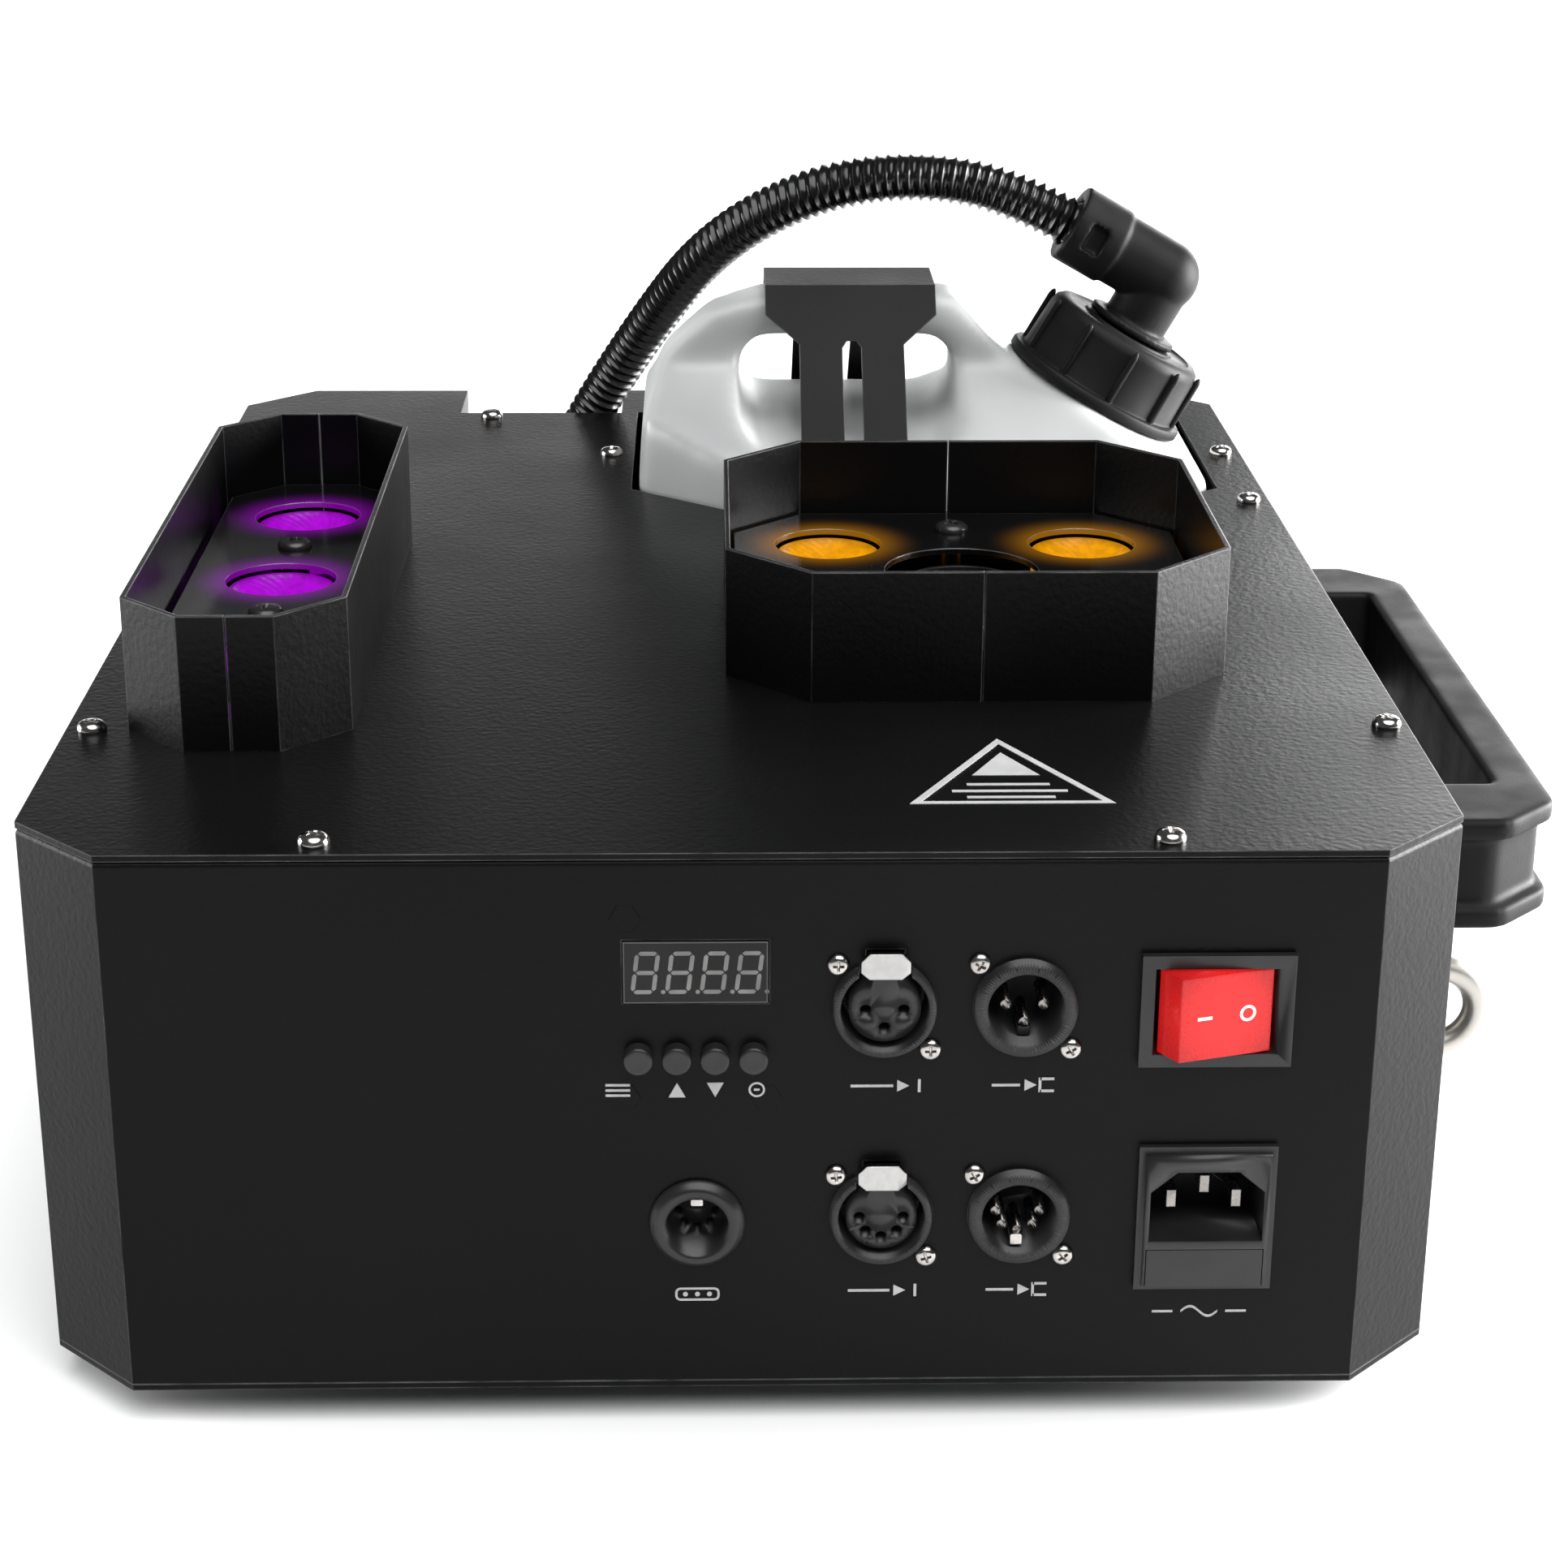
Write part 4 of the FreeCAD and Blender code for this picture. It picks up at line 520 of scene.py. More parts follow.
def conduit_pattern():
    """A ribbed tube along a curve."""
    pattern = Pattern("ribbed_conduit", {"Radius": "length", "Rib Depth": "length", "Rib Pitch": "length",
                                         "Sides": "number", "Finish": "material"})
    start = pattern.start
    length = pattern.add("GeometryNodeCurveLength", {"Curve": start["Geometry"]}).outputs["Length"]
    ribs = pattern.math("ROUND", pattern.math("DIVIDE", length, start["Rib Pitch"]))
    count = pattern.math("ADD", pattern.math("MULTIPLY", ribs, STEPS_PER_RIB), 1.0)
    line = pattern.add("GeometryNodeResampleCurve", {"Curve": start["Geometry"],
                                                     "Count": count}).outputs["Curve"]
    index = pattern.add("GeometryNodeInputIndex").outputs[0]
    wave = pattern.math("COSINE", pattern.math("MULTIPLY", index, 2 * math.pi / STEPS_PER_RIB))
    swing = pattern.math("ADD", pattern.math("MULTIPLY", wave, 0.5), 0.5)
    lifted = pattern.math("POWER", swing, 0.55)
    depth = pattern.math("MULTIPLY", lifted, start["Rib Depth"])
    radius = pattern.math("SUBTRACT", start["Radius"], depth)
    ring = pattern.add("GeometryNodeCurvePrimitiveCircle",
                       {"Resolution": start["Sides"], "Radius": 1.0}).outputs[0]
    sweep = pattern.add("GeometryNodeCurveToMesh", {"Curve": line, "Profile Curve": ring, "Scale": radius,
                                                    "Fill Caps": True})
    return pattern.close(sweep.outputs[0])


def ring_pattern():
    """Copies of an object spaced evenly round the Z axis."""
    pattern = Pattern("copies_round_axis", {"Copy": "object", "Count": "number", "Finish": "material"})
    copy = pattern.add("GeometryNodeObjectInfo", {"Object": pattern.start["Copy"]}).outputs["Geometry"]
    points = pattern.add("GeometryNodeMeshLine", {"Count": pattern.start["Count"],
                                                  "Offset": (0, 0, 0)}).outputs[0]
    index = pattern.add("GeometryNodeInputIndex").outputs[0]
    step = pattern.math("DIVIDE", 2 * math.pi, pattern.start["Count"])
    turn = pattern.add("FunctionNodeAxisAngleToRotation", {"Axis": (0, 0, 1),
                                                           "Angle": pattern.math("MULTIPLY", index, step)})
    placed = pattern.add("GeometryNodeInstanceOnPoints", {"Points": points, "Instance": copy,
                                                          "Rotation": turn.outputs[0]})
    joined = pattern.add("GeometryNodeJoinGeometry")
    pattern.tree.links.new(pattern.start["Geometry"], joined.inputs[0])
    pattern.tree.links.new(placed.outputs[0], joined.inputs[0])
    return pattern.close(joined.outputs[0])


def patterned(thing, tree, name, **values):
    """Run a node tree on an object and keep the plain mesh it makes."""
    modifier = thing.modifiers.new("pattern", "NODES")
    modifier.node_group = tree
    for item in tree.interface.items_tree:
        key = item.name.replace(" ", "_").lower()
        if item.in_out == "INPUT" and key in values:
            modifier[item.identifier] = values[key]
    return finished(thing, name)


# ---------------------------------------------------------------- groups of pieces

def screw_mesh(radius, height, shank, length, recess):
    """A pan-head screw with a cross recess, standing on its seat."""
    head = lathe([(0, height), (0.35 * radius, height * 0.99), (0.62 * radius, height * 0.93),
                  (0.82 * radius, height * 0.78), (0.95 * radius, height * 0.5), (radius, height * 0.2),
                  (0.99 * radius, 0), (shank, 0), (shank, -length), (0, -length)], 40)
    thing = loose_object("screw_head", to_mesh(head, "screw_head"))
    arm = 0.6 * radius
    wide = 0.15 * radius
    cross = [(wide, wide), (arm, wide), (arm, -wide), (wide, -wide), (wide, -arm), (-wide, -arm),
             (-wide, -wide),
             (-arm, -wide), (-arm, wide), (-wide, wide), (-wide, arm), (wide, arm)]
    cutter = loose_object("screw_cross", to_mesh(prism([(x * 0.45, y * 0.45) for x, y in cross],
                                                       height - recess,
                                                       height + recess, spread=2.9), "screw_cross"))
    recessing = thing.modifiers.new("recess", "BOOLEAN")
    recessing.operation = "DIFFERENCE"
    recessing.solver = "EXACT"
    recessing.object = cutter
    mesh = finished(thing, "screw")
    bpy.data.objects.remove(cutter)
    return mesh


def screw_group(name, node, material, axis, radius, height, shank, seed):
    """All the screws of one CAD node."""
    spots = []
    length = 0.0
    along = Vector(axis)
    for low, high in solids_of(node):
        centre = (low + high) / 2
        half = (high - low) / 2
        top = centre + Vector(a * h for a, h in zip(along, half))
        spots.append(top - along * height)
        length = max(length, abs((high - low).dot(along)) - height)
    points = bpy.data.meshes.new(name)
    points.from_pydata([tuple(spot) for spot in spots], [], [])
    screw = loose_object("screw", screw_mesh(radius, height, shank, length,
                                             min(sizes().screw_recess, height * 0.6)))
    made = patterned(loose_object(name, points), screw_pattern(), name, screw=screw, axis=axis, seed=seed,
                     finish=material)
    bpy.data.objects.remove(screw)
    return piece(name, made, "case", material, (node,), smooth=30)


def smooth_copy(node, name, body, material, smooth=32.0):
    """A CAD node's shape with its round faces shaded smooth."""
    return piece(name, to_mesh(merged(node), name), body, material, (node,), smooth)


class StepOperator(bpy.types.Operator):
    """One step of dressing the fog machine."""
    bl_options = {"REGISTER", "UNDO"}

    def make(self):
        """What the step makes."""
        raise NotImplementedError

    def execute(self, context):
        """Run the step."""
        self.make()
        return {"FINISHED"}


class FOG_OT_stage(StepOperator):
    """Pale floor, soft lights and the camera"""
    bl_idname = "fog.stage"
    bl_label = "Stage"

    def make(self):
        scene = bpy.context.scene
        scene.view_settings.view_transform = "Standard"
        lens = bpy.data.cameras.new("camera")
        lens.sensor_width = 36.0
        lens.lens = 72.64
        lens.clip_start = 0.02
        camera = loose_object("camera", lens)
        pitch = math.radians(20.68)
        yaw = math.radians(-1.40)
        roll = math.radians(0.27)
        right = Vector((math.cos(yaw), math.sin(yaw), 0))
        ahead = Vector((-math.sin(yaw) * math.cos(pitch), math.cos(yaw) * math.cos(pitch), -math.sin(pitch)))
        up = right.cross(ahead)
        across = right * math.cos(roll) + up * math.sin(roll)
        upward = up * math.cos(roll) - right * math.sin(roll)
        turn = Matrix((across, upward, -ahead)).transposed().to_4x4()
        camera.matrix_world = Matrix.Translation((-0.0255, PANEL_Y - 0.6008, 0.3754)) @ turn
        scene.camera = camera
        world = bpy.data.worlds.new("studio")
        scene.world = world
        world.use_nodes = True
        world.node_tree.nodes["Background"].inputs["Color"].default_value = (0.9, 0.95, 1.0, 1)
        world.node_tree.nodes["Background"].inputs["Strength"].default_value = 0.10
        shader = Shader("floor_paint")
        tint = shader.mixed(shader.spread(shader.noise(3.0, 3.0), 0.0, 1.0), colours().floor,
                            tuple(value * 0.985 for value in colours().floor[:3]) + (1.0,))
        shader.give(shader.surface.inputs["Base Color"], tint)
        shader.surface.inputs["Roughness"].default_value = 0.85
        shader.surface.inputs["Specular IOR Level"].default_value = 0.2
        mesh = to_mesh(prism(rectangle(0, 0, 30.0, 30.0), -0.02, -0.0004), "floor")
        mesh.materials.append(shader.material)
        loose_object("floor", mesh)
        sun = bpy.data.lights.new("sky_panel", "SUN")
        sun.energy = 3.7
        sun.angle = math.radians(60)
        loose_object("sky_panel", sun).rotation_euler = (math.radians(22), math.radians(10), 0)
        for name, spot, aim, width, height, power in (
                ("right_softbox", (1.0, 0.16, 0.26), (0.0, 0.10, 0.08), 0.66, 0.52, 48.0),
                ("left_softbox", (-1.05, 0.14, 0.26), (0.0, 0.10, 0.08), 0.6, 0.52, 11.0),
                ("rear_right_softbox", (1.0, 1.9, 0.55), (0.1, 0.0, 0.13), 1.0, 0.8, 20.0),
                ("rear_strip", (-0.25, 1.95, 0.33), (-0.05, 0.1, 0.13), 1.2, 0.40, 3.2)):
            light = bpy.data.lights.new(name, "AREA")
            light.shape = "RECTANGLE"
            light.size = width
            light.size_y = height
            light.energy = power
            lamp = loose_object(name, light)
            lamp.matrix_world = facing(Vector(spot), Vector(spot) - Vector(aim))


class FOG_OT_hose(StepOperator):
    """Ribbed suction hose from the gland to the elbow"""
    bl_idname = "fog.hose"
    bl_label = "Suction hose"

    def make(self):
        data = bpy.data.curves.new("hose_line", "CURVE")
        data.dimensions = "3D"
        data.resolution_u = 24
        spline = data.splines.new("NURBS")
        spline.points.add(len(HOSE_ROUTE) - 1)
        for point, spot in zip(spline.points, HOSE_ROUTE):
            point.co = (*spot, 1.0)
        spline.order_u = 3
        spline.use_endpoint_u = True
        line = loose_object("hose_line", data)
        bpy.context.view_layer.update()
        plain = bpy.data.meshes.new_from_object(line)
        bpy.data.meshes.remove(plain)
        rubber = finish("glossy_conduit", colours().conduit, (0.16, 0.26), patch=120.0, level=0.4,
                        grain=(1200.0, 0.1, 0.0001), edge=0.0002)
        mesh = patterned(line, conduit_pattern(), "ribbed_hose", radius=sizes().hose_radius,
                         rib_depth=sizes().rib_depth, rib_pitch=sizes().rib_pitch, sides=28, finish=rubber)
        hose = piece("ribbed_hose", mesh, "case", rubber, ("suction_hose",), smooth=60)


class FOG_OT_case(StepOperator):
    """Powder coat of the case, its cover, hose bay, clamp and bottle well, and the flush stud marks"""
    bl_idname = "fog.case"
    bl_label = "Case"

    def make(self):
        for node in ("base_pan", "body_shell", "top_cover", "hose_bay", "bottle_clamp", "bottle_well"):
            dress(node, powder_coat())
        studs = bmesh.new()
        display = middle("display_module")
        for dx, dz in ((-14.6, 12.0), (-15.0, -28.8), (14.9, -29.2)):
            prism(circle(display.x + dx * MM, display.z + dz * MM, 3.4 * MM, 6), -0.00005, 0.00008,
                  into=studs)
        covered = coated("covered_stud_coat", (0.30, 0.38), 0.09)
        piece("stud_marks", to_mesh(studs, "stud_marks", on_panel()), "case", covered,
              smooth=0)


class FOG_OT_hoods(StepOperator):
    """Hood walls and lens plates with the lamps' light painted on as a glow, and the facetted reflectors"""
    bl_idname = "fog.hoods"
    bl_label = "Hoods and lamps"

    def make(self):
        groups = (("left", ("left_hood_outer_half", "left_hood_inner_half"), colours().violet,
                   "violet_lens", 0.30),
                  ("right", ("right_hood_left_half", "right_hood_right_half"), colours().amber,
                   "amber_lens", 0.22))
        for side, halves, light, slot, strength in groups:
            spots = [(low + high) / 2 for low, high in solids_of(f"{side}_lenses")]
            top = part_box(f"{side}_lens_plate")[1].z
            lens_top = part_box(f"{side}_lenses")[1].z
            first = solids_of(f"{side}_lenses")[0]
            radius = (first[1].x - first[0].x) / 2
            lit = [(spot.x, spot.y, top) for spot in spots]
            # Painted glow: the hood walls and lens plates emit round each lens, standing in for the lamps'
            # light falling on them.
            wall = coated(f"{side}_hood_coat", (0.28, 0.38), 0.11, worn=colours().bare_edge,
                          glow=(lit, light, 0.012, 0.029, strength))
            plate = finish(f"{side}_plate_coat", colours().coat, (0.14, 0.24), patch=9.0, level=0.9,
                           grain=(420.0, 0.16, 0.0001), edge=0.0005, worn=colours().bare_edge,
                           glow=(lit, light, 0.010, 0.027, strength * 1.5))
            for node in halves:
                dress(node, wall)
            dress(f"{side}_lens_plate", plate)
            self.reflectors(side, spots, lens_top, radius, light, slot)

    def reflectors(self, side, spots, top, radius, light, slot):
        """Facetted bowls, lit from inside."""
        shader = Shader(f"{side}_reflector")
        sparkle = shader.spread(shader.noise(420.0, 1.0), 0.88, 1.12)
        gap = None
        for spot in spots:
            away = shader.add("ShaderNodeVectorMath", {0: shader.place, 1: (spot.x, spot.y, top)},
                              operation="DISTANCE").outputs["Value"]
            gap = away if gap is None else shader.total("MINIMUM", gap, away)
        rim = shader.spread(gap, 1.0, 0.55, radius * 0.78, radius * 1.0, smooth=True)
        shader.give(shader.surface.inputs["Emission Strength"], shader.total("MULTIPLY", sparkle, rim))
        shader.surface.inputs["Emission Color"].default_value = light
        shade = shader.mixed(rim, tuple(value * 0.04 for value in light[:3]) + (1.0,),
                             tuple(value * 0.1 for value in light[:3]) + (1.0,))
        shader.give(shader.surface.inputs["Base Color"], shade)
        shader.surface.inputs["Roughness"].default_value = 0.3
        shader.surface.inputs["Specular IOR Level"].default_value = 0.25
        bowls = bmesh.new()
        steps = sizes().lens_facets
        for spot in spots:
            bowl = in_mm([(0, -4.6), (1.2, -4.6), (1.9, -4.1), (3.4, -3.9), (5.0, -3.5), (6.6, -2.9),
                          (8.2, -2.2), (9.7, -1.5), (11.0, -0.8)])
            rest = [(radius - 0.9 * MM, -0.15 * MM), (radius, 0), (radius, -7.5 * MM), (5 * MM, -14 * MM),
                    (0, -14 * MM)]
            shape = lathe(bowl + rest, steps)
            for corner in shape.verts:
                reach = math.hypot(corner.co.x, corner.co.y)
                turn = round(math.atan2(corner.co.y, corner.co.x) / (2 * math.pi / steps))
                if 1.5 * MM < reach < radius - 1.2 * MM and corner.co.z > -6 * MM:
                    corner.co.z += 0.05 * MM * (1 if (turn + round(reach / (1.5 * MM))) % 2 else -1)
            whole = to_mesh(shape, "bowl", Matrix.Translation((spot.x, spot.y, top)))
            bowls.from_mesh(whole)
            bpy.data.meshes.remove(whole)
        piece(f"{side}_reflectors", to_mesh(bowls, f"{side}_reflectors"), "case", shader.material,
              (f"{side}_lenses",), smooth=0)


class FOG_OT_bottle(StepOperator):
    """Blow-moulded milky bottle with soft edges"""
    bl_idname = "fog.bottle"
    bl_label = "Bottle"

    def make(self):
        mesh = skinned(merged("bottle"), "milky_bottle", sizes().bottle_skin, 16)
        shader = Shader("milky_plastic_skin")
        cloud = shader.spread(shader.noise(14.0, 4.0), 0.0, 1.0)
        shader.give(shader.surface.inputs["Base Color"],
                    shader.mixed(cloud, colours().bottle, (0.37, 0.378, 0.378, 1)))
        shader.give(shader.surface.inputs["Roughness"], shader.spread(shader.noise(30.0, 3.0), 0.34, 0.46))
        relief = shader.add("ShaderNodeBump", {"Strength": 0.12, "Distance": 0.0004,
                                               "Height": shader.noise(60.0, 3.0)}).outputs["Normal"]
        shader.give(shader.surface.inputs["Normal"], relief)
        shader.surface.inputs["Subsurface Weight"].default_value = 0.35
        shader.surface.inputs["Subsurface Radius"].default_value = (1.0, 1.0, 1.0)
        shader.surface.inputs["Subsurface Scale"].default_value = 0.008
        piece("milky_bottle", mesh, "case", shader.material, ("bottle",), smooth=80)


class FOG_OT_cap(StepOperator):
    """Ribbed screw cap of the bottle"""
    bl_idname = "fog.cap"
    bl_label = "Bottle cap"

    def make(self):
        cap = lathe(in_mm([(10.2, 20.9), (10.2, 18.6), (22.5, 18.6), (22.5, 0.1), (27.8, 0.1), (28.25, 0.6),
                           (28.25, 2.4), (27.7, 3.1), (25.4, 3.3), (24.95, 4.0), (24.5, 17.2), (23.9, 19.4),
                           (22.4, 20.7), (20.4, 20.9), (19.6, 20.3), (14.8, 20.3), (14.2, 20.9)]), 96)
        rib = lathe(in_mm([(0, 3.0), (1.15, 3.0), (1.05, 17.6), (0.8, 18.9), (0.4, 19.6), (0, 19.8)]), 12)
        bmesh.ops.transform(rib, matrix=Matrix.Translation((25.15 * MM, 0, 0)), verts=rib.verts)
        rib_object = loose_object("grip_rib", to_mesh(rib, "grip_rib"))
        host = loose_object("ribbed_cap", to_mesh(cap, "ribbed_cap"))
        plastic = moulded_plastic()
        mesh = patterned(host, ring_pattern(), "ribbed_cap", copy=rib_object, count=sizes().grip_ribs,
                         finish=plastic)
        bpy.data.objects.remove(rib_object)
        mesh.transform(facing(CAP_SEAT, CAP_AXIS))
        piece("ribbed_cap", mesh, "cap", plastic, ("bottle_cap",), smooth=40)


class FOG_OT_moulded_parts(StepOperator):
    """Elbow, gland, side handle and feet: moulded skins with rounded edges"""
    bl_idname = "fog.moulded_parts"
    bl_label = "Moulded parts"

    def make(self):
        plastic = moulded_plastic()
        grip = finish("handle_plastic", colours().moulding, (0.46, 0.58), other=(0.009, 0.009, 0.0095, 1),
                      patch=30.0,
                      level=0.1, grain=(1500.0, 0.3, 0.00012), edge=0.0003)
        piece("conduit_elbow", skinned(merged("hose_elbow"), "conduit_elbow", 0.00065, 5), "case", plastic,
              ("hose_elbow",), smooth=70)
        piece("carrying_handle", skinned(merged("side_handle"), "carrying_handle", 0.00095, 4), "case", grip,
              ("side_handle",), smooth=70)
        smooth_copy("hose_gland", "gland", "case", plastic)
        rubber = finish("foot_rubber", (0.018, 0.018, 0.018, 1), (0.62, 0.75), grain=(900.0, 0.3, 0.0002))
        smooth_copy("rubber_feet", "feet", "case", rubber)


class FOG_OT_metal_parts(StepOperator):
    """Screws, eye bolt, latches and contacts"""
    bl_idname = "fog.metal_parts"
    bl_label = "Metal parts"

    def make(self):
        nickel = nickel_plate()
        dark = blackened_steel()
        screw_group("cover_screw_heads", "cover_screws", nickel, (0, 0, 1), 0.0034, 0.0024, 0.0018,
                    3)
        screw_group("panel_screw_heads", "panel_screws", nickel, (0, -1, 0), 0.0024, 0.0016, 0.0014,
                    5)
        screw_group("plate_screw_heads", "lens_plate_screws", dark, (0, 0, 1), 0.0044, 0.0022,
                    0.0014, 7)
        screw_group("clamp_screw_heads", "clamp_screws", nickel, (0, 0, 1), 0.0032, 0.0022, 0.0014,
                    9)
        piece("forged_eye", skinned(merged("eye_bolt"), "forged_eye", 0.0005, 6), "case", raw_steel(),
              ("eye_bolt",), smooth=70)
        smooth_copy("side_fasteners", "side_fastener_heads", "case", nickel)
        contact = finish("contact_metal", (0.20, 0.19, 0.18, 1), (0.2, 0.35), patch=400.0, metal=1.0,
                         edge=0.0003)
        smooth_copy("contact_pins", "contacts", "case", contact)
        chrome = finish("latch_chrome", (0.40, 0.395, 0.385, 1), (0.07, 0.14), other=(0.36, 0.355, 0.35, 1),
                        patch=500.0, metal=1.0, grain=(1400.0, 0.1, 0.0001))
        for row, body in (("3", "latch_upper"), ("5", "latch_lower")):
            smooth_copy(f"latch_{row}_pole", f"latch_tab_{row}", body, chrome)
            self.grips(f"latch_{row}_pole", f"latch_grip_{row}", body, dark)

    def grips(self, node, name, body, material):
        """A raised outline and three bars on a latch tab."""
        low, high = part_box(node)
        bars = band(rounded(0, 0, 9.0 * MM, 4.6 * MM, 1.7 * MM), rounded(0, 0, 8.5 * MM, 4.1 * MM, 1.5 * MM),
                    -0.0001, 0.00022)
        for step in (-1, 0, 1):
            prism(rounded(0, step * 1.1 * MM, 5.4 * MM, 0.5 * MM, 0.2 * MM, 3), -0.0001, 0.00022, into=bars)
        place = on_panel((low.x + high.x) / 2, (low.z + high.z) / 2, PANEL_Y - low.y - 0.00025)
        piece(name, to_mesh(bars, name, place), body, material, smooth=30)


class FOG_OT_sockets(StepOperator):
    """Signal sockets, remote socket, mains inlet, display, buttons and printed marks of the panel"""
    bl_idname = "fog.sockets"
    bl_label = "Control panel"

    def make(self):
        plastic = finish("socket_plastic", (0.011, 0.011, 0.0115, 1), (0.28, 0.38), patch=60.0, level=0.36,
                         grain=(2200.0, 0.16, 0.00008), edge=0.00035)
        for node in ("socket_3_pole", "socket_5_pole", "plug_3_pole", "plug_5_pole", "remote_socket",
                     "mains_inlet", "rocker_frame"):
            smooth_copy(node, f"{node}_shell", "case", plastic)
        smooth_copy("fuse_drawer", "fuse_drawer_face", "fuse_tray", plastic)
        self.socket_details(plastic)
        self.buttons(plastic)
        self.display()
        self.print_marks()

    def socket_details(self, plastic):
        """Guide keys, the remote socket's earth key and the fuse outline."""
        bright = nickel_plate()
        remote = middle("remote_socket")
        key = prism(rounded(remote.x, remote.z + 4.9 * MM, 2.6 * MM, 1.5 * MM, 0.3 * MM, 3), -0.0046, 0.0006)
        piece("remote_key", to_mesh(key, "remote_key", on_panel()), "case", bright, smooth=30)
        pole = middle("plug_5_pole")
        key = prism(rounded(pole.x - 0.4 * MM, pole.z - 6.0 * MM, 2.5 * MM, 2.6 * MM, 0.4 * MM, 3), -0.006,
                    0.0004)
        piece("guide_key_5", to_mesh(key, "guide_key_5", on_panel()), "case", bright, smooth=30)
        pole = middle("plug_3_pole")
        key = prism(rounded(pole.x, pole.z - 6.6 * MM, 2.6 * MM, 2.2 * MM, 0.4 * MM, 3), -0.009, -0.002)
        piece("guide_key_3", to_mesh(key, "guide_key_3", on_panel()), "case", plastic,
              smooth=30)
        low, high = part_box("fuse_drawer")
        x = (low.x + high.x) / 2
        z = (low.z + high.z) / 2 + 0.4 * MM
        outline = bmesh.new()
        for dx in (-6.6, 6.6):
            band(rectangle(x + dx * MM, z, 3.7 * MM, 4.2 * MM), rectangle(x + dx * MM, z, 3.2 * MM, 3.7 * MM),
                 -0.0001, 0.00014, into=outline)
        band(rectangle(x, z, 9.3 * MM, 2.8 * MM), rectangle(x, z, 8.9 * MM, 2.3 * MM), -0.0001, 0.00014,
             into=outline)
        for dx, wide in ((-8.0, 3.0), (-3.6, 4.2), (2.2, 5.2), (8.2, 3.4)):
            prism(rectangle(x + dx * MM, z - 3.3 * MM, wide * MM, 0.35 * MM), -0.0001, 0.00012, into=outline)
        place = on_panel(0, 0, PANEL_Y - low.y - 0.00016)
        piece("fuse_outline", to_mesh(outline, "fuse_outline", place), "fuse_tray", plastic,
              smooth=0)

    def buttons(self, plastic):
        """Four push buttons with rounded, slightly dished tops."""
        for number in range(1, 5):
            low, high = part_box(f"button_{number}")
            radius = (high.x - low.x) / 2
            deep = high.y - low.y
            cap = lathe([(0, -0.12 * MM), (radius * 0.55, -0.08 * MM), (radius * 0.78, 0),
                         (radius * 0.92, -0.12 * MM),
                         (radius * 0.99, -0.4 * MM), (radius, -0.7 * MM), (radius, -deep), (0, -deep)], 40)
            place = on_panel((low.x + high.x) / 2, (low.z + high.z) / 2, PANEL_Y - low.y)
            piece(f"push_button_{number}", to_mesh(cap, f"push_button_{number}", place), f"key_{number}",
                  plastic,
                  (f"button_{number}",), smooth=40)

    def display(self):
        """Dark display face with a thin rim and four unlit digits."""
        low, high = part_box("display_module")
        glass = finish("display_filter", (0.006, 0.006, 0.0065, 1), (0.20, 0.28), patch=50.0, level=0.2,
                       edge=0.0002)
        smooth_copy("display_module", "display_block", "case", glass)
        x = (low.x + high.x) / 2
        z = (low.z + high.z) / 2
        front = PANEL_Y - low.y
        rim = band(rectangle(x, z, 30.0 * MM, 13.8 * MM), rectangle(x, z, 29.5 * MM, 13.3 * MM), -0.0001,
                   0.00006)
        piece("display_rim", to_mesh(rim, "display_rim", on_panel(0, 0, front)), "case",
              finish("display_rim_grey", (0.05, 0.05, 0.05, 1), (0.4, 0.5), patch=80.0),
              smooth=0)
        digits = bmesh.new()
        tall = sizes().digit_height
        wide = tall * 0.5
        slant = 0.12
        thick = tall * 0.105
        for place in range(4):
            left = x - 12.6 * MM + place * 7.2 * MM
            for dx, dz, upright in ((0.5, 1, 0), (0.5, 0, 0), (0.5, -1, 0), (0, 0.5, 1), (1, 0.5, 1),
                                    (0, -0.5, 1),
                                    (1, -0.5, 1)):
                self.segment(digits, left + dx * wide, z + dz * tall / 2, upright, wide, tall / 2, thick,
                             slant, z)
            prism(circle(left + wide + 1.5 * MM, z - tall / 2, 0.48 * MM, 12), 0, 0.00005, into=digits)
        grey = finish("digit_grey", (0.13, 0.13, 0.125, 1), (0.45, 0.55), patch=200.0, edge=0.0001)
        piece("display_digits", to_mesh(digits, "display_digits", on_panel(0, 0, front)), "case", grey,
              smooth=0)

    def segment(self, shape, x, z, upright, wide, half, thick, slant, axis):
        """One bar of a digit, with pointed ends, leaning with the digit."""
        length = (half if upright else wide) - thick * 0.45
        t = thick / 2
        bar = [(-length / 2, 0), (-length / 2 + t, t), (length / 2 - t, t), (length / 2, 0),
               (length / 2 - t, -t),
               (-length / 2 + t, -t)]
        if upright:
            bar = [(-b, a) for a, b in bar]
        prism([(x + a + (z + b - axis) * slant, z + b) for a, b in bar], 0, 0.00005, into=shape)

    def print_marks(self):
        """Plain pictograms beside the controls and a plain triangle on the cover."""
        marks = bmesh.new()

        def bar(x, z, wide, high):
            prism(rectangle(x, z, wide * MM, high * MM), *PRINT_LEVELS, into=marks)

        def corner(x, z, way, upright, size=2.0):
            points = [(-size * 0.9, -size * 0.85), (size * 0.9, -size * 0.85), (0, size * 0.85)]
            if not upright:
                points = [(b, -a) for a, b in points]
            prism([(x + a * way * MM, z + b * way * MM) for a, b in points], *PRINT_LEVELS, into=marks)

